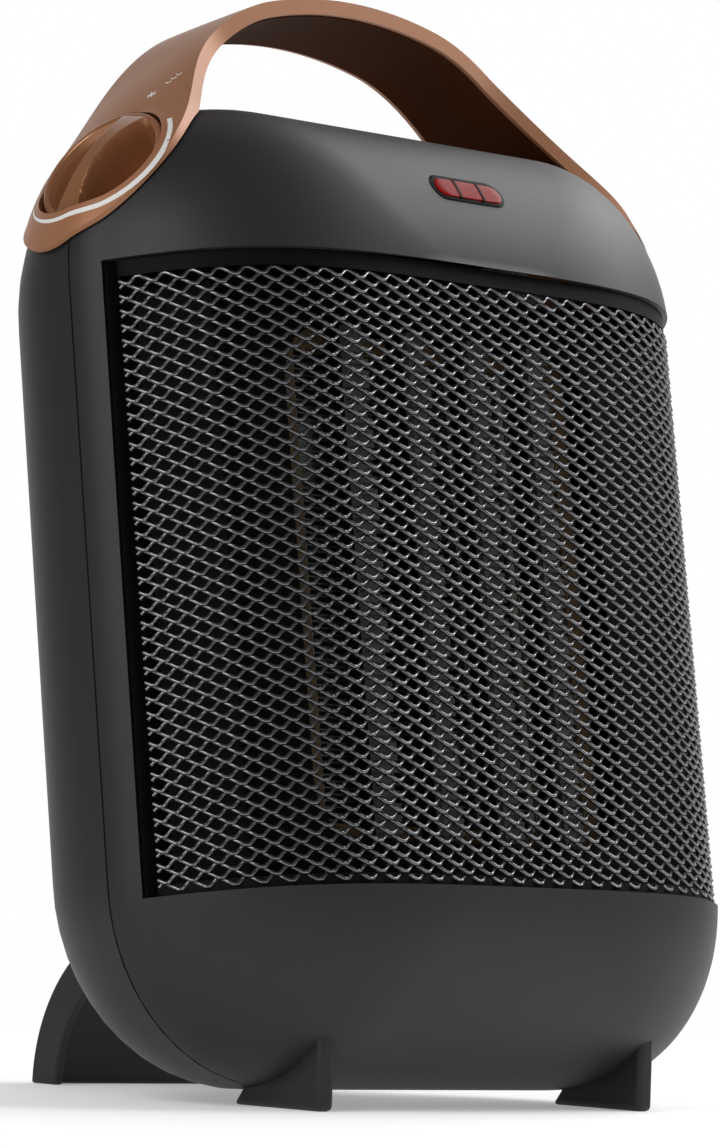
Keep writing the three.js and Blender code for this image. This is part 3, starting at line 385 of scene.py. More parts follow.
def leaned(u, v, w):
    """A direction or step of the body's axes, in the frame of the part, in metres."""
    return (to_part([(u, v, w)]) - to_part([(0, 0, 0)]))[0]


def copies(piece, count, step, look):
    return run_tree(piece, ALONG, Count=count, Step=leaned(*step).tolist(), Finish=look)


def copies_at(name, piece, points, look):
    spots = bpy.data.meshes.new(name)
    spots.from_pydata(to_part(points).tolist(), [], [])
    made = run_tree(link(spots, name), AT_POINTS, Item=piece, Finish=look)
    bpy.data.objects.remove(piece)
    return made


print("node trees:", [t.name for t in bpy.data.node_groups])

# %% [markdown]
# The outline of the body at each depth is a rounded rectangle. In front of the seam it narrows a
# little, then bows; behind it, it closes like the end of an egg. These few numbers give every
# surface that touches the body: shells, grille and the underside of the handle.

# %% Body outline
BODY_HALF = 98.0
LOW, HIGH = -43.5, 200.0
CORNER = 46.0
SIDE_DEPTH, BOW_DEPTH, REAR_DEPTH = 8.0, 37.5, 60.0
FRONT_DEPTH = SIDE_DEPTH + BOW_DEPTH
BOW_HALF = 94.5
BOW_POWER = 4.44
ROOF_ROLL = 48.0
OPENING = 155.6
WALL = 2.4


def outline(v):
    """Half width, lowest and highest points and corner radius of the body at that depth."""
    if v <= 0:
        d = min(-v, FRONT_DEPTH)
        roll = ROOF_ROLL * (1 - math.sqrt(max(1 - (d / FRONT_DEPTH) ** 2, 0)))
        if d < SIDE_DEPTH:
            half = BODY_HALF - (BODY_HALF - BOW_HALF) * (d / SIDE_DEPTH) ** 1.7
        else:
            half = BOW_HALF * max(1 - (d - SIDE_DEPTH) / BOW_DEPTH, 0) ** (1 / BOW_POWER)
        return half, LOW + roll, HIGH - roll, CORNER * half / BODY_HALF
    inset = BODY_HALF * (1 - max(1 - (v / REAR_DEPTH) ** 2.5, 0) ** 0.4)
    half = BODY_HALF - inset
    return half, LOW + inset, HIGH - inset, CORNER * half / BODY_HALF


def ring(v, turns=16):
    """The outline at that depth as (u, w) points, clockwise from the middle of the underside."""
    half, low, high, radius = outline(v)
    corners = [(-half + radius, low + radius, 270), (-half + radius, high - radius, 180),
               (half - radius, high - radius, 90), (half - radius, low + radius, 0)]
    points = [(0.0, low)]
    for cu, cw, start in corners:
        for i in range(turns + 1):
            angle = math.radians(start - 90 * i / turns)
            points.append((cu + radius * math.cos(angle), cw + radius * math.sin(angle)))
    return points + [(0.0, low)]


def resampled(points, count):
    """A line of points as that many points, evenly spaced along it."""
    points = np.asarray(points, float)
    steps = np.linalg.norm(np.diff(points, axis=0), axis=1)
    along = np.concatenate([[0], np.cumsum(steps)])
    where = np.linspace(0, along[-1], count)
    return np.column_stack([np.interp(where, along, points[:, k]) for k in range(points.shape[1])])


def edge_at(v, w):
    """Half width of the body at that depth and height."""
    half, low, high, radius = outline(v)
    reach = max(w - (high - radius), (low + radius) - w, 0)
    return half - radius + math.sqrt(max(radius ** 2 - min(reach, radius) ** 2, 0))


def above_line(v, line, upper=True):
    """The part of the outline above (or below) a height, from left to right."""
    half = edge_at(v, line)
    if upper:
        middle = [(u, w) for u, w in ring(v) if w > line + 0.01]
    else:
        left = [(u, w) for u, w in ring(v) if w < line - 0.01 and u < -0.001]
        middle = left[::-1] + [(0.0, outline(v)[1])] + [(-u, w) for u, w in left]
    return [(-half, line)] + middle + [(half, line)]


depths = [0, 2, 4, 6, 8] + [FRONT_DEPTH * math.sin(math.radians(a)) for a in np.linspace(12.2, 85.6, 34)]
print(len(depths), "outlines from the seam to", round(depths[-1], 2), "mm in front of it")

# %% [markdown]
# Each control sits in a round cup let into the pad. The axis faces outwards, up and a little
# forwards. Things on that axis are drawn in its own axes: across, up and out from the rim.

# %% Control axes
KNOB_RADIUS, BORE, CUP_OUTER, CUP_DEPTH = 17.8, 18.5, 19.8, 12.7
CUP_HOLE = CUP_OUTER + 0.3
FACE_UP, FACE_FRONT = math.radians(32.9), math.radians(9.7)
KNOB_TURN, KNOB_REACH = math.radians(34.1), 100.8
KNOB_MIDDLE = (KNOB_REACH * math.cos(KNOB_TURN), 3.0, 127.0 + KNOB_REACH * math.sin(KNOB_TURN))


def control_axes(side):
    out = np.array([side * math.cos(FACE_UP) * math.cos(FACE_FRONT), -math.sin(FACE_FRONT),
                    math.sin(FACE_UP) * math.cos(FACE_FRONT)])
    wide = np.array([-out[1], out[0], 0.0])
    wide /= np.linalg.norm(wide)
    return wide, np.cross(out, wide), out


def at_control(side):
    wide, tall, out = control_axes(side)
    centre = np.array([side * KNOB_MIDDLE[0], KNOB_MIDDLE[1], KNOB_MIDDLE[2]])

    def place(points):
        p = np.asarray(points, float).reshape(-1, 3)
        return to_part(centre + p[:, :1] * wide + p[:, 1:2] * tall + p[:, 2:] * out)

    return place


def turned(name, profile, place, sides=96, closed=True, angle=35):
    """A turned body: (radius, height) points spun about the axis."""
    points = []
    for radius, height in profile:
        points += [(radius * math.cos(a), radius * math.sin(a), height)
                   for a in np.linspace(0, 2 * math.pi, sides, endpoint=False)]
    rows = len(profile)
    faces = grid_faces(rows + 1 if closed else rows, sides, closed=True)
    faces = [tuple(i % len(points) for i in f) for f in faces]
    return shape(name, points, faces, place, angle=angle)


def bored(piece, radius, depth=-30, angle=35):
    """The piece with a round hole for each control."""
    profile = [(0.01, depth), (radius, depth), (radius, 20), (0.01, 20)]
    drills = [turned("drill", profile, at_control(side), closed=False) for side in (-1, 1)]
    cut_away(piece, *drills, angle=angle)
    for drill in drills:
        bpy.data.objects.remove(drill)


# %% [markdown]
# Front shell: one moulding with the grille opening in it. It is drawn as a skin in four parts that
# share their edges (header, sill and the two narrow sides), then thickened inwards to the wall of
# the moulding. Drawing the opening into the skin keeps the long edge of the header crisp and even.

# %% Front shell
def front_skin():
    points, faces = [], []

    def sheet(rows):
        start = len(points)
        for line in rows:
            points.extend(line)
        faces.extend(grid_faces(len(rows), len(rows[0]), start))

    for line, upper in ((OPENING, True), (0.0, False)):
        rows = []
        for d in depths:
            _, low, high, _ = outline(-d)
            if (upper and high - line < 0.05) or (not upper and line - low < 0.05):
                break
            rows.append([(u, -d, w) for u, w in resampled(above_line(-d, line, upper), 81)])
        rows.append([(u, v - 0.05, line) for u, v, w in rows[-1]])
        sheet(rows)
    for side in (-1, 1):
        sheet([[(side * edge_at(-d, w), -d, w) for w in np.linspace(0, OPENING, 25)]
               for d in depths[:5]])
    return points, faces


points, faces = front_skin()
front = shape("front_shell_moulding", points, faces, angle=40)
thick = front.modifiers.new("wall", "SOLIDIFY")
thick.thickness = WALL * MM
thick.offset = -1
thick.use_even_offset = True
thick.thickness_clamp = 1.0
baked(front)
bored(front, CUP_HOLE, angle=40)
rounded_edges(front, 0.45, angle=60)
finished(front, CHARCOAL, "shell_plastic", "root", "front_shell")

# %% [markdown]
# Rear shell: closes like the end of an egg, with thirteen intake slots whose length follows the
# curve of the back, four deep screw wells, and the hole of the cord gland low on the right. The
# slots are one long cutter, stepped upwards.

# %% Rear shell
REAR_START = 0.6
SLOT_COUNT, SLOT_PITCH, SLOT_HEIGHT, SLOT_WIDTH, SLOT_MIDDLE = 13, 8.4, 3.6, 92.0, 84.0
SCREW_PLACES = [(-64, -12), (64, -12), (-40, 176), (40, 176)]
WELL_FLOOR, WELL_RADIUS, WELL_WALL = 6.0, 4.6, 1.2
GLAND_U, GLAND_W, GLAND_RADIUS = 60, 22, 6.6


RING_POINTS = 128


def closed_ring(v):
    line = resampled(ring(v), RING_POINTS + 1)[:-1]
    return [(u, v, w) for u, w in line]


rings = [closed_ring(REAR_START)]
for angle in np.linspace(4, 89.2, 40):
    rings.append(closed_ring(REAR_DEPTH * math.sin(math.radians(angle)) ** 0.8))
points = [p for line in rings for p in line]
faces = grid_faces(len(rings), RING_POINTS, closed=True)
faces.append(tuple(range(len(points) - RING_POINTS, len(points))))
rear = shape("rear_shell_moulding", points, faces, angle=40)
thick = rear.modifiers.new("wall", "SOLIDIFY")
thick.thickness = WALL * MM
thick.offset = -1
baked(rear)


def pill(name, width, height, depth, middle, place=to_part):
    """A long slab with round ends, from front to back."""
    loops = []
    for v in (-depth / 2, depth / 2):
        loop = []
        for cu, start in ((width / 2 - height / 2, -90), (-width / 2 + height / 2, 90)):
            for i in range(9):
                angle = math.radians(start + 180 * i / 8)
                loop.append((middle[0] + cu + height / 2 * math.cos(angle), middle[1] + v,
                             middle[2] + height / 2 * math.sin(angle)))
        loops.append(loop)
    return loft(name, loops, place)


def rod(name, radius, start, end, at, place=to_part, sides=32):
    """A round bar along the front-to-back axis."""
    loops = []
    for v in (start, end):
        loops.append([(at[0] + radius * math.cos(a), v, at[1] + radius * math.sin(a))
                      for a in np.linspace(0, 2 * math.pi, sides, endpoint=False)])
    return loft(name, loops, place)


cutters = []
span = (SLOT_COUNT - 1) * SLOT_PITCH / 2
for i in range(SLOT_COUNT):
    rise = (i - (SLOT_COUNT - 1) / 2) * SLOT_PITCH
    share = math.sqrt(1 - 0.55 * (rise / (span + SLOT_PITCH)) ** 2)
    cutters.append(pill("slot", SLOT_WIDTH * share, SLOT_HEIGHT, 50, (0, 62, SLOT_MIDDLE + rise)))
for at in SCREW_PLACES:
    cutters.append(rod("well", WELL_RADIUS, WELL_FLOOR, 70, at))
cutters.append(rod("gland_hole", GLAND_RADIUS, 30, 80, (GLAND_U, GLAND_W)))
bpy.ops.object.select_all(action="DESELECT")
for cutter in cutters:
    cutter.select_set(True)
bpy.context.view_layer.objects.active = cutters[0]
bpy.ops.object.join()
cutter = cutters[0]
cut_away(rear, cutter, angle=40)
bpy.data.objects.remove(cutter)
bored(rear, CUP_HOLE, angle=40)
rounded_edges(rear, 0.35, angle=60)
finished(rear, CHARCOAL, "shell_plastic", "root", "rear_shell")

LIP_OUTER, LIP_INNER, LIP_FRONT, LIP_BACK = 2.5, 3.7, -2.5, 3.5
BODY_MIDDLE, BODY_RISE = (LOW + HIGH) / 2, (HIGH - LOW) / 2

lip_loops = []
for v, inset in ((LIP_FRONT, LIP_OUTER), (LIP_BACK, LIP_OUTER), (LIP_BACK, LIP_INNER),
                 (LIP_FRONT, LIP_INNER)):
    wider, taller = (BODY_HALF - inset) / BODY_HALF, (BODY_RISE - inset) / BODY_RISE
    lip_loops.append([(u * wider, v, BODY_MIDDLE + (w - BODY_MIDDLE) * taller)
                      for u, _, w in closed_ring(0.0)])
points = [p for line in lip_loops for p in line]
faces = grid_faces(5, RING_POINTS, closed=True)
faces = [tuple(i % len(points) for i in f) for f in faces]
lip = shape("seam_lip", points, faces, angle=40)
bored(lip, CUP_HOLE, angle=40)
finished(lip, BLACK, "black_plastic")


def rear_face(u, w):
    """Depth of the back of the body at that width and height."""
    near, far = 0.0, REAR_DEPTH
    for _ in range(40):
        v = (near + far) / 2
        _, low, high, _ = outline(v)
        outside = w > high or w < low or abs(u) > edge_at(v, w)
        near, far = (near, v) if outside else (v, far)
    return near


WELL_SIDES, WELL_OUTER, WELL_FOOT = 28, WELL_RADIUS + WELL_WALL, WELL_FLOOR - 1.5
wells = []
for at in SCREW_PLACES:
    loops = []
    for radius, floor_v in ((WELL_RADIUS, WELL_FLOOR), (WELL_RADIUS, None), (WELL_OUTER, None),
                            (WELL_OUTER, WELL_FOOT), (0.05, WELL_FOOT), (0.05, WELL_FLOOR)):
        loop = []
        for a in np.linspace(0, 2 * math.pi, WELL_SIDES, endpoint=False):
            u, w = at[0] + radius * math.cos(a), at[1] + radius * math.sin(a)
            loop.append((u, rear_face(u, w) - 0.7 if floor_v is None else floor_v, w))
        loops.append(loop)
    points = [p for line in loops for p in line]
    faces = [tuple(i % len(points) for i in f) for f in grid_faces(7, WELL_SIDES, closed=True)]
    wells.append((points, faces))
points, faces = [], []
for more, quads in wells:
    faces += [tuple(i + len(points) for i in f) for f in quads]
    points += more
finished(shape("screw_wells", points, faces), CHARCOAL, "shell_plastic")

# %% [markdown]
# Feet: two thin upright blades under the front of the body. A blade is a flat plate drawn in side
# view. A Bevel modifier rounds its edges and stays live, so that its width is easy to change.

# %% Feet
def blade(side):
    profile = [(-30, 0), (2, 0), (-2, 5), (-10, 20), (-18, 34), (-30, 24)]
    loops = [[(side * 53.5 + x, y, z) for y, z in profile] for x in (-2.5, 2.5)]
    made = loft("front_foot", loops, on_floor, angle=30)
    rounded_edges(made, 1.4, angle=30, segments=3)
    return made


for side in (-1, 1):
    finished(blade(side), CHARCOAL, "shell_plastic")

# %% [markdown]
# Rear stand: in side view a quarter of a ring that the back of the body rests on. It is a curved
# plate hollowed from its inner side, so that a skin and a rim are left, as in a moulding.

# %% Rear stand
STAND_CENTRE, STAND_RADIUS, STAND_THICKNESS, STAND_SKIN, STAND_HALF = 53.0, 43.3, 10.0, 2.6, 44.0


def quarter_ring(name, outer, inner, half, low=0, high=90):
    """A curved plate: a quarter of a ring about the stand's centre, from side to side."""
    turns = np.radians(np.linspace(low, high, 49))
    arc = [(outer, a) for a in turns] + [(inner, a) for a in turns[::-1]]
    return loft(name, [[(x, STAND_CENTRE + r * math.cos(a), r * math.sin(a)) for r, a in arc]
                       for x in (-half, half)], on_floor)


stand = quarter_ring("stand_plate", STAND_RADIUS, STAND_RADIUS - STAND_THICKNESS, STAND_HALF)
hollow = quarter_ring("hollow", STAND_RADIUS - STAND_SKIN, STAND_RADIUS - STAND_THICKNESS - 5,
                      STAND_HALF - STAND_SKIN, -8, 84)
cut_away(stand, hollow, angle=30)
bpy.data.objects.remove(hollow)
rounded_edges(stand, 0.6, angle=50)
finished(stand, CHARCOAL, "shell_plastic", "root", "rear_stand")

# %% [markdown]
# Handle: a bronze-finished strap that arches over the body and flares at each end into a pad, which
# hugs the shoulder of the body and holds a control. It is a loft of thin sections swung round the
# centre of the arch; every section follows the shell under it with a small gap.

# %% Handle surfaces
ARCH_CENTRE, ARCH_REACH, PAD_DROP = 127.0, 110, 10.7
PAD_ANGLE, PAD_SPREAD, FLARE_END = 36, 16.7, 65
STRAP_WIDTH, PAD_WIDTH, STRAP_MIDDLE, PAD_MIDDLE = 32, 48, 14, 6
STRAP_THICKNESS, STRAP_GAP, STRAP_PROUD = 4, 0.75, 2.1
CROWN, FRONT_DROP, DROP_EASED = 2.9, 1.8, 1.2


def ease(x, low, high):
    t = min(max((x - low) / (high - low), 0), 1)
    return t * t * (3 - 2 * t)


def body_reach(angle, v):
    """From the centre of the arch out to the body, in that direction."""
    half, low, high, radius = outline(v)
    cu, cw = math.cos(math.radians(angle)), math.sin(math.radians(angle))

    def inside(t):
        u, w = abs(t * cu), ARCH_CENTRE + t * cw
        du, dw = u - (half - radius), max(w - (high - radius), low + radius - w)
        return math.hypot(max(du, 0), max(dw, 0)) + min(max(du, dw), 0) < radius

    near, far = 0.0, 200.0
    for _ in range(30):
        middle = (near + far) / 2
        near, far = (middle, far) if inside(middle) else (near, middle)
    return near


def handle_span(angle):
    """Middle and half width of the strap, front to back. It widens to the pad and rounds off."""
    flare = 1 - ease(angle, PAD_ANGLE, FLARE_END)
    half = (STRAP_WIDTH + (PAD_WIDTH - STRAP_WIDTH) * flare) / 2
    middle = STRAP_MIDDLE + (PAD_MIDDLE - STRAP_MIDDLE) * flare
    below = max(PAD_ANGLE - angle, 0) / PAD_SPREAD
    return middle, half * math.sqrt(max(1 - below ** 2, 0))


def handle_reach(angle, v):
    """Inner and outer distance of the strap from the centre of the arch."""
    rear_edge = ARCH_REACH - PAD_DROP * (1 - ease(angle, 42, 75))
    if angle < PAD_ANGLE:
        flat = math.cos(math.radians(PAD_ANGLE) - FACE_UP)
        rear_edge *= flat / math.cos(math.radians(angle) - FACE_UP)
    middle, half = handle_span(max(angle, PAD_ANGLE))
    from_rear = (middle + half - v) / (2 * half)
    eased = ease(angle, 46, 62)
    crown = 4 * CROWN * (1 - eased) * from_rear * (1 - from_rear)
    drop = (FRONT_DROP - DROP_EASED * eased) * from_rear ** 2
    body = body_reach(angle, v)
    outer = max(rear_edge + crown - drop, body + STRAP_PROUD)
    return max(body + STRAP_GAP, outer - STRAP_THICKNESS), outer


def at_angle(angle, v, reach, side=1):
    return (side * reach * math.cos(math.radians(angle)), v,
            ARCH_CENTRE + reach * math.sin(math.radians(angle)))


half_arch = [PAD_ANGLE - PAD_SPREAD * math.cos(math.radians(a)) for a in np.linspace(3, 90, 24)]
half_arch += list(np.linspace(PAD_ANGLE, 90, 46))[1:]
loops = []
for angle in half_arch + [180 - a for a in half_arch[-2::-1]]:
    side = 1 if angle <= 90 else -1
    lower = min(angle, 180 - angle)
    middle, half = handle_span(lower)
    depth = [middle + half * x for x in np.linspace(-1, 1, 25)]
    outer = [at_angle(lower, v, handle_reach(lower, v)[1], side) for v in depth]
    inner = [at_angle(lower, v, handle_reach(lower, v)[0], side) for v in depth[::-1]]
    loops.append(outer + inner)
strap = loft("handle_strap", loops, angle=35)
print("handle loft", len(strap.data.vertices), "points")

bored(strap, BORE)
rounded_edges(strap, 1.3, angle=50, segments=4)
finished(strap, BRONZE, "bronze_handle", "root", "handle")

for side in (-1, 1):
    profile = [(BORE, -1.2), (BORE, -CUP_DEPTH + 1.4), (4.0, -CUP_DEPTH + 1.4), (4.0, -CUP_DEPTH),
               (CUP_OUTER, -CUP_DEPTH), (CUP_OUTER, -3.5), (BORE + 0.5, -2.6), (BORE + 0.5, -1.2)]
    cup = turned("control_cup", profile, at_control(side))
    finished(cup, POLISHED, "bronze_knob", "root", "handle")

# %% [markdown]
# Painted shade: a thin dark brown sheet follows the inner surface of the strap from just above one
# pad to just above the other, a little narrower than the strap, standing in for the shadow under it.

# %% Painted shade under the strap
SHADE_SHEET_START, SHADE_SHEET_INSET = 48, 1.5

shade_sheet = []
for angle in np.linspace(SHADE_SHEET_START, 180 - SHADE_SHEET_START, 61):
    side, lower = (1, angle) if angle <= 90 else (-1, 180 - angle)
    middle, half = handle_span(lower)
    depth = [middle + (half - SHADE_SHEET_INSET) * x for x in np.linspace(-1, 1, 9)]
    reach = [handle_reach(lower, v)[0] for v in depth]
    shade_sheet.append([at_angle(lower, v, r + 0.4, side) for v, r in zip(depth, reach)]
                  + [at_angle(lower, v, r - 0.35, side) for v, r in zip(depth[::-1], reach[::-1])])
finished(loft("handle_lining", shade_sheet, angle=50), PAINTED_SHADE_UNDERSIDE, "bronze_handle")

# %% [markdown]
# Knobs: a dished cap with a rounded rim and a raised, arched grip across it, waisted in the middle.
# Either side of the grip is a pocket for a finger, deeper on one side. The whole top is one smooth
# height over the disc, and the side wall drops into the cup.

# %% Knobs
RIM_RADIUS, RIM_HALF, RIM_RISE = 16.75, 1.05, 0.9
DEEP_POCKET, SHALLOW_POCKET = 9.0, 4.8
WAIST, WAIST_FLARE, GRIP_RISE, GRIP_HALF = 2.6, 2.0, 4.6, 17.0
KNOB_SIDES = 288


def knob_height(x, y):
    """Height of the top of the knob, with the grip along y."""
    r = math.hypot(x, y)
    lip = -RIM_RISE
    if abs(r - RIM_RADIUS) < RIM_HALF:
        lip += RIM_RISE * math.sqrt(1 - ((r - RIM_RADIUS) / RIM_HALF) ** 2)
    depth = DEEP_POCKET if x > 0 else SHALLOW_POCKET
    wall = ease(r, 12.6 if x > 0 else 13.4, 15.9)
    dish = -depth * (1 - wall) - RIM_RISE * wall if r < 15.7 else lip
    if x < 0 and y < -6:
        step = ease(x, -9.5, -8.7) * (1 - ease(x, -4.6, -4.0)) * (1 - ease(y, -9.0, -8.2))
        dish = max(dish, -depth + 2.4 * step) if r < 14.5 else dish
    across = abs(x)
    waist = WAIST + WAIST_FLARE * min(abs(y) / 15.5, 1) ** 2
    crest = GRIP_RISE * (1 - min(abs(y) / GRIP_HALF, 1) ** 2) - 0.3
    side_drop = ease(across, waist - 0.6, waist + 0.6)
    grip = crest * (1 - side_drop) + dish * side_drop
    fade = ease(r, 15.9, 17.2)
    top = max(dish, grip) if across < waist + 0.6 else dish
    return top * (1 - fade) + lip * fade


def knob(side, name, node, body, turn):
    swing = math.radians(turn)
    points, faces = [(0, 0, knob_height(0.0, 0.0))], []
    radii = list(np.linspace(0.3, 15.6, 60)) + list(np.linspace(15.85, KNOB_RADIUS - 0.02, 12))
    for r in radii:
        for j in range(KNOB_SIDES):
            a = 2 * math.pi * j / KNOB_SIDES
            x, y = r * math.cos(a), r * math.sin(a)
            height = knob_height(x, y)
            points.append((x * math.cos(swing) + y * math.sin(swing),
                           -x * math.sin(swing) + y * math.cos(swing), height))
    for j in range(KNOB_SIDES):
        faces.append((0, 1 + j, 1 + (j + 1) % KNOB_SIDES))
    faces += grid_faces(len(radii), KNOB_SIDES, 1, closed=True)
    start = len(points)
    for r, z in ((KNOB_RADIUS, -1.2), (KNOB_RADIUS, -11), (KNOB_RADIUS - 1.5, -11), (4, -10.6)):
        points += [(r * math.cos(a - swing), r * math.sin(a - swing), z)
                   for a in np.linspace(0, 2 * math.pi, KNOB_SIDES, endpoint=False)]
    faces += grid_faces(5, KNOB_SIDES, start - KNOB_SIDES, closed=True)
    faces.append(tuple(range(len(points) - KNOB_SIDES, len(points))))
    made = shape(name, points, faces, at_control(side), angle=60)
    finished(made, POLISHED, "bronze_knob", body, node)
    return made


knob(-1, "thermostat_knob_cap", "thermostat_knob", "thermostat", 19)
knob(1, "selector_knob_cap", "selector_knob", "selector", 19)

# %% [markdown]
# Markings on the pads: a white arc that tapers as it sweeps round the front and bottom of the
# control, and two small plain figures above it. They are printed, so they lie on the pad as very
# thin slabs.

# %% Printed markings
def on_pad(side, x, y, lift):
    """A point of the pad's surface under (x, y) of the control's own axes."""
    wide, tall, out = control_axes(side)
    centre = np.array([side * KNOB_MIDDLE[0], KNOB_MIDDLE[1], KNOB_MIDDLE[2]])
    u, v, w = centre + x * wide + y * tall
    for _ in range(3):
        angle = math.degrees(math.atan2(w - ARCH_CENTRE, abs(u)))
        reach = handle_reach(angle, v)[1] + lift
        here = np.array(at_angle(angle, v, reach, side))
        gap = np.dot(here - np.array([u, v, w]), out)
        u, v, w = np.array([u, v, w]) + gap * out
    return tuple(here)


def printed(side, name, left, right):
    """A thin printed stripe between two edges, given in the control's own axes."""
    loops = []
    for (a, b), (c, d) in zip(left, right):
        loops.append([on_pad(side, a, b, 0.12), on_pad(side, c, d, 0.12), on_pad(side, c, d, -0.1),
                      on_pad(side, a, b, -0.1)])
    made = loft(name, loops)
    finished(made, PRINT, "white_plastic")


def polar(radius, degrees):
    return radius * math.cos(math.radians(degrees)), radius * math.sin(math.radians(degrees))


for side in (-1, 1):
    hand = 1 if side < 0 else -1
    sweep = np.linspace(34, -158, 60)
    widths = [1.15 - 0.8 * max(i - 36, 0) / 23 for i in range(60)]
    inner = [polar(20.6 - widths[i] / 2, a if hand > 0 else 180 - a) for i, a in enumerate(sweep)]
    outer = [polar(20.6 + widths[i] / 2, a if hand > 0 else 180 - a) for i, a in enumerate(sweep)]
    printed(side, "printed_arc", inner, outer)
    for turn in (0, 60, 120):
        (a, b), (c, d) = polar(1.3, turn), polar(0.18, turn + 90)
        x, y = hand * 5.2, 25.0
        printed(side, "printed_star", [(x - a + c, y - b + d), (x + a + c, y + b + d)],
                [(x - a - c, y - b - d), (x + a - c, y + b - d)])
    for k in range(3):
        x, y = hand * (8.2 + 0.9 * k), 29.2 + 1.5 * k
        printed(side, "printed_wave", [(x - 0.9, y + 0.5), (x, y - 0.1), (x + 0.9, y + 0.5)],
                [(x - 0.9, y + 0.15), (x, y - 0.45), (x + 0.9, y + 0.15)])

# %% [markdown]
# Grille: expanded steel, cut and stretched from one sheet, so its strands form rows of flat
# diamonds. It bows with the front of the body. One row is a line of points along the bow, six to a
# diamond. The node tree waves it, sets a mirrored row above it, repeats the pair up the opening and
# gives the strands their thickness.

# %% Grille
GRILLE_RECESS, GRILLE_HALF, GRILLE_LOW, GRILLE_HIGH = 1.8, 91.5, 1.2, 154.4
DIAMOND_WIDTH, DIAMOND_HEIGHT, STRAND = 6.5, 3.65, 1.15
WAVE_RISE, WAVE_PUSH, THICK, THICK_SWING = 0.86, 0.5, 0.8, 0.36


def bow(u, recess):
    """Depth of the bowed front at that width, or that far behind it."""
    share = min(abs(u) / BOW_HALF, 1)
    return recess - SIDE_DEPTH - BOW_DEPTH * (1 - share ** BOW_POWER)


fine = [(u, bow(u, GRILLE_RECESS + 0.5)) for u in np.linspace(-GRILLE_HALF, GRILLE_HALF, 801)]
length = sum(math.dist(a, b) for a, b in zip(fine, fine[1:]))
count = int(length / DIAMOND_WIDTH) * 6 + 1
strand = [(u, v, GRILLE_LOW + 1.0) for u, v in resampled(fine, count)]

MESH, given, out = tree("expanded_mesh", Rows="Int", Pitch="Vector", Half="Vector", Wave="Vector",
                        Push="Vector", Radius="Float", Finish="Material")


def node(kind, **settings):
    made = MESH.nodes.new(kind)
    for key, value in settings.items():
        setattr(made, key, value)
    return made


def wired(made, **ends):
    for label, end in ends.items():
        target = next(s for s in made.inputs if s.name.replace(" ", "_") == label and s.enabled)
        if hasattr(end, "is_output"):
            MESH.links.new(end, target)
        else:
            target.default_value = end
    return made


def maths(operation, a, b=0.0):
    made = node("ShaderNodeMath", operation=operation)
    for socket, end in zip(made.inputs, (a, b)):
        if hasattr(end, "is_output"):
            MESH.links.new(end, socket)
        else:
            socket.default_value = end
    return made.outputs[0]


def scaled(vector, factor):
    made = node("ShaderNodeVectorMath", operation="SCALE")
    MESH.links.new(vector, made.inputs[0])
    MESH.links.new(factor, made.inputs["Scale"])
    return made.outputs[0]


index = node("GeometryNodeInputIndex").outputs[0]
wave = maths("MULTIPLY", maths("SINE", maths("MULTIPLY", index, math.pi / 3)), 1.1547)
line = wired(node("GeometryNodeMeshToCurve"), Mesh=given.outputs["Geometry"]).outputs[0]
pair = node("GeometryNodeJoinGeometry")
for sign in (1, -1):
    lift = scaled(given.outputs["Wave"], maths("MULTIPLY", wave, sign))
    push = scaled(given.outputs["Push"], maths("MULTIPLY", wave, -sign))
    both = node("ShaderNodeVectorMath", operation="ADD")
    MESH.links.new(lift, both.inputs[0])
    MESH.links.new(push, both.inputs[1])
    total = both.outputs[0]
    if sign < 0:
        above_it = node("ShaderNodeVectorMath", operation="ADD")
        MESH.links.new(total, above_it.inputs[0])
        MESH.links.new(given.outputs["Half"], above_it.inputs[1])
        total = above_it.outputs[0]
    moved = wired(node("GeometryNodeSetPosition"), Geometry=line, Offset=total)
    thick = maths("ADD", maths("MULTIPLY", wave, -THICK_SWING * sign), THICK)
    sized = wired(node("GeometryNodeSetCurveRadius"), Curve=moved.outputs[0], Radius=thick)
    MESH.links.new(sized.outputs[0], pair.inputs[0])
rows = wired(node("GeometryNodeMeshLine"), Count=given.outputs["Rows"], Offset=given.outputs["Pitch"])
stack = wired(node("GeometryNodeInstanceOnPoints"), Points=rows.outputs[0], Instance=pair.outputs[0])
loose = wired(node("GeometryNodeRealizeInstances"), Geometry=stack.outputs[0])
section = wired(node("GeometryNodeCurvePrimitiveCircle"), Resolution=4, Radius=given.outputs["Radius"])
wires = wired(node("GeometryNodeCurveToMesh"), Curve=loose.outputs[0], Profile_Curve=section.outputs[0],
              Fill_Caps=True)
last_steps(MESH, given, out, wires.outputs[0])

mesh = bpy.data.meshes.new("grille_mesh")
mesh.from_pydata(to_part(strand).tolist(), [(i, i + 1) for i in range(len(strand) - 1)], [])
grille = link(mesh, "grille_mesh")
rows = int((GRILLE_HIGH - GRILLE_LOW - 2.5) / DIAMOND_HEIGHT)
run_tree(grille, MESH, Rows=rows, Pitch=leaned(0, 0, DIAMOND_HEIGHT).tolist(),
         Half=leaned(0, 0, DIAMOND_HEIGHT / 2).tolist(), Wave=leaned(0, 0, WAVE_RISE).tolist(),
         Push=leaned(0, -WAVE_PUSH, 0).tolist(), Radius=STRAND / 2 * MM, Finish=ENAMEL)
finished(grille, ENAMEL, "grille_metal", "root", "front_grille")
print(rows * 2, "rows of", (count - 1) // 6, "diamonds")


def bowed_strip(name, low, high, recess=2.0, thickness=1.0):
    """A flat border that follows the bow."""
    loops = []
    for u in np.linspace(-GRILLE_HALF, GRILLE_HALF, 121):
        near, far = bow(u, recess), bow(u, recess) + thickness
        loops.append([(u, near, low), (u, near, high), (u, far, high), (u, far, low)])
    finished(loft(name, loops, angle=50), BLACK, "grille_metal")


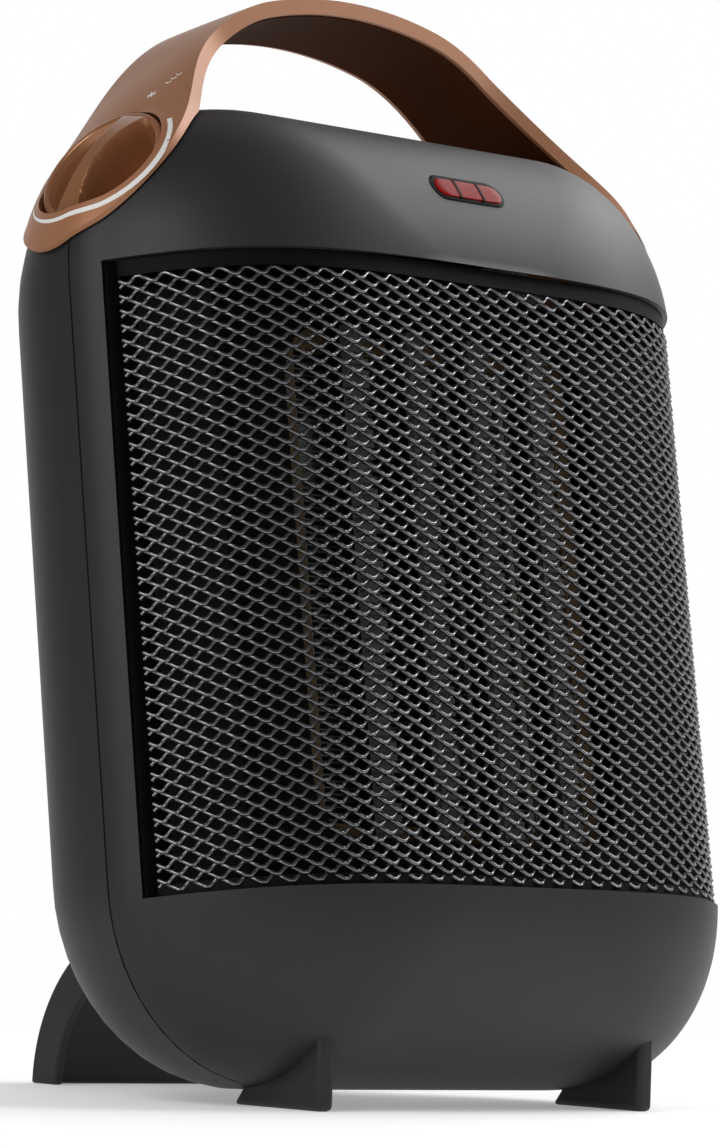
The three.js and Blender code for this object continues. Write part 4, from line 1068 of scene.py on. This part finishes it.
bowed_strip("grille_top_border", GRILLE_HIGH - 3.2, GRILLE_HIGH + 1.0)
bowed_strip("grille_foot_border", GRILLE_LOW - 1.0, GRILLE_LOW + 1.6)

# %% [markdown]
# Behind the mesh: a dark outlet plate with four upright ribbed bars, and the heating strips behind
# those. A strip is a stack of thin aluminium fins between two edge plates. One fin is drawn and the
# line tree repeats it up the strip.

# %% Baffle, outlet bars and heating fins
def window_frame(name, half, low, high, hole_half, hole_low, hole_high, radius, front_face, back_face):
    """A flat plate with a rounded window in it."""
    def corners(half, low, high, radius):
        points = []
        for cu, cw, start in ((half - radius, high - radius, 0), (-half + radius, high - radius, 90),
                              (-half + radius, low + radius, 180), (half - radius, low + radius, 270)):
            for i in range(9):
                angle = math.radians(start + 90 * i / 8)
                points.append((cu + radius * math.cos(angle), cw + radius * math.sin(angle)))
        return points

    outer, hole = corners(half, low, high, 3), corners(hole_half, hole_low, hole_high, radius)
    points = [(u, v, w) for v, line in ((front_face, outer), (front_face, hole), (back_face, hole),
                                        (back_face, outer)) for u, w in line]
    faces = [tuple(i % len(points) for i in f) for f in grid_faces(5, len(outer), closed=True)]
    return finished(shape(name, points, faces), BLACK, "black_plastic")


window_frame("outlet_baffle", half=93.6, low=-2, high=158, hole_half=56, hole_low=12, hole_high=144,
             radius=14, front_face=-8.8, back_face=-7.6)


def box(name, low, high):
    """An upright box between two opposite corners."""
    (a, b, c), (d, e, f) = low, high
    loops = [[(a, b, z), (d, b, z), (d, e, z), (a, e, z)] for z in (c, f)]
    return loft(name, loops, angle=30)


BAR_COUNT, BAR_PITCH, BAR_LOW, BAR_HIGH, RIB_COUNT, RIB_PITCH = 4, 20.5, 14, 142, 42, 3.0
for i in range(BAR_COUNT):
    u = (i - (BAR_COUNT - 1) / 2) * BAR_PITCH
    bar = box("outlet_bar", (u - 2.6, -26.6, BAR_LOW), (u + 2.6, -24.2, BAR_HIGH))
    finished(bar, GREY_BARS, "black_plastic")
    rib = box("outlet_ribs", (u - 3.4, -27.4, BAR_LOW + 1), (u + 3.4, -25.4, BAR_LOW + 2.5))
    copies(rib, RIB_COUNT, (0, 0, RIB_PITCH), GREY_BARS)
    finished(rib, GREY_BARS, "black_plastic")

STRIP_PITCH, STRIP_HALF, STRIP_FRONT, STRIP_DEPTH = 18.0, 7.4, -17, 11
STRIP_LOW, STRIP_HIGH = 77.8 - 59, 77.8 + 59
FIN_COUNT, FIN_PITCH, FIN_THICKNESS, FIN_INSET = 74, 1.585, 0.4, 0.2
for i in range(1, 6):
    u = (i - 3) * STRIP_PITCH
    back = STRIP_FRONT + STRIP_DEPTH
    fin = box(f"heating_fins_{i}", (u - STRIP_HALF, STRIP_FRONT + FIN_INSET, STRIP_LOW + 0.5),
              (u + STRIP_HALF, back - FIN_INSET, STRIP_LOW + 0.5 + FIN_THICKNESS))
    copies(fin, FIN_COUNT, (0, 0, FIN_PITCH), ALUMINIUM)
    finished(fin, ALUMINIUM, "fin_aluminium", "root", f"heating_strip_{i}")
    for side in (-1, 1):
        edge = u + side * (STRIP_HALF - 0.3)
        plate = box("strip_edge", (edge - 0.4, STRIP_FRONT, STRIP_LOW), (edge + 0.4, back, STRIP_HIGH))
        finished(plate, ALUMINIUM, "fin_aluminium")

# %% [markdown]
# Indicator: a dark rounded bezel in the header with a long red lens in it, divided by two bars.

# %% Indicator lens
def lens_face(u, w):
    """Depth of the front of the body at that width and height."""
    near, far = -FRONT_DEPTH, 0.0
    for _ in range(40):
        v = (near + far) / 2
        near, far = (v, far) if w > outline(v)[2] or abs(u) > edge_at(v, w) else (near, v)
    return far


def bowed_pill(name, width, height, recess, back, middle_w, look, slot, *nodes):
    """A pill-shaped plate whose face follows the front of the body."""
    loop = []
    for cu, start in ((width / 2 - height / 2, -90), (-width / 2 + height / 2, 90)):
        for i in range(13):
            angle = math.radians(start + 180 * i / 12)
            loop.append((cu + height / 2 * math.cos(angle), middle_w + height / 2 * math.sin(angle)))
    loops = []
    for share in (0.02, 0.4, 0.75, 0.93, 1.0):
        eased = 0.25 if share == 1.0 else 0
        inner = [(u * share, middle_w + (w - middle_w) * share) for u, w in loop]
        loops.append([(u, lens_face(u, w) + recess + eased, w) for u, w in inner])
    loops.append([(u, lens_face(u, w) + back, w) for u, w in loop])
    made = loft(name, loops, angle=50)
    return finished(made, look, slot, "root", *nodes)


LENS_MIDDLE, LENS_BAR_RISE = 177.0, 2.7
bowed_pill("lens_bezel", 24.4, 7.4, -0.35, 3.0, LENS_MIDDLE, BLACK, "black_plastic")
bowed_pill("indicator_window", 22.0, 5.2, -0.75, 3.0, LENS_MIDDLE, RED, "red_lens", "indicator_lens")
heights = np.linspace(LENS_MIDDLE - LENS_BAR_RISE, LENS_MIDDLE + LENS_BAR_RISE, 7)
corners = ((-0.35, -0.9), (0.35, -0.9), (0.35, 1), (-0.35, 1))
for u in (-3.9, 3.9):
    loops = [[(u + a, lens_face(u, w) + b, w) for a, b in corners] for w in heights]
    finished(loft("lens_bar", loops), BLACK, "black_plastic")

# %% [markdown]
# Screws: one cross-headed screw is drawn once and set down in the four wells of the rear shell. The
# two under the stand keep the frame's own shape. Last comes the gland that lines the cord's opening:
# the cord itself isn't part of the object.

# %% Screws and gland
def screw_head(name):
    """A domed head on a short shank, with a cross in it, about the origin of the body's axes."""
    profile = [(0.02, -12.0), (1.4, -12.0), (1.4, 0.0), (3.1, 0.0), (3.3, 0.5), (3.0, 1.5),
               (2.0, 2.1), (1.1, 2.3), (1.1, 1.3), (0.02, 1.2)]

    def place(points):
        x, y, z = np.asarray(points, float).reshape(-1, 3).T
        return to_part(np.column_stack([x, z, -y])) - to_part([(0, 0, 0)])

    head = turned(name, profile, place, sides=32, closed=False)
    for x, y in ((2.2, 0.4), (0.4, 2.2)):
        slot = loft("recess", [[(-x, -y, z), (x, -y, z), (x, y, z), (-x, y, z)] for z in (1.0, 4)], place)
        cut_away(head, slot)
        bpy.data.objects.remove(slot)
    return head


heads = copies_at("case_screw_heads", screw_head("screw"),
                  [(u, WELL_FLOOR + 0.1, w) for u, w in SCREW_PLACES], STEEL)
finished(heads, STEEL, "steel", "root", *[f"case_screw_{i}" for i in range(1, 5)])

GLAND_DEPTH = 49


def at_gland(points):
    """Points about the axis of the gland, with heights rearwards from its flange."""
    x, y, z = np.asarray(points, float).reshape(-1, 3).T
    return to_part(np.column_stack([GLAND_U + x, GLAND_DEPTH + z, GLAND_W - y]))


profile = [(3.6, -6), (6.4, -6), (6.4, 1.0), (8.2, 1.0), (8.4, 1.8), (8.0, 2.8), (5.6, 3.4),
           (4.6, 3.1), (3.8, 2.0)]
gland = turned("gland_collar", profile, at_gland, sides=48)
finished(gland, RUBBER, "black_rubber", "root", "cord_gland")

# %% [markdown]
# What is inside keeps the shapes of the frame, each with its own finish, and shows only through the
# slots and the mesh. The list names the outer pieces too, so that every node has a finish.

# %% Inner pieces
INNER = {"rear_stand": CHARCOAL, "case_screw": STEEL, "stand_screw": STEEL, "cord_gland": RUBBER,
         "thermostat_knob": POLISHED, "thermostat_spindle": STEEL, "thermostat_body": CERAMIC,
         "selector_knob": POLISHED, "selector_spindle": STEEL, "selector_switch": PALE,
         "indicator_lamp": AMBER, "indicator_lens": RED, "outlet_grid": BLACK, "element_frame": MICA,
         "heating_strip": ALUMINIUM, "ceramic_bar": CERAMIC, "fan_duct": BLACK, "fan_rotor": PALE,
         "motor_shaft": STEEL, "motor_stator": STEEL, "motor_coil": COPPER, "motor_bracket": STEEL,
         "thermal_cut_out": RUBBER, "tip_switch_housing": PALE, "tip_pendulum": STEEL,
         "terminal_block": PALE, "wire_": RUBBER, "front_shell": CHARCOAL, "rear_shell": CHARCOAL,
         "handle": BRONZE, "front_grille": ENAMEL}
for name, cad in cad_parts.items():
    look = next(look for start, look in INNER.items() if name.startswith(start))
    cad.data.materials.clear()
    cad.data.materials.append(look)
print(len(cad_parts), "frame pieces have a finish")

# %% Last update of the scene
bpy.context.view_layer.update()
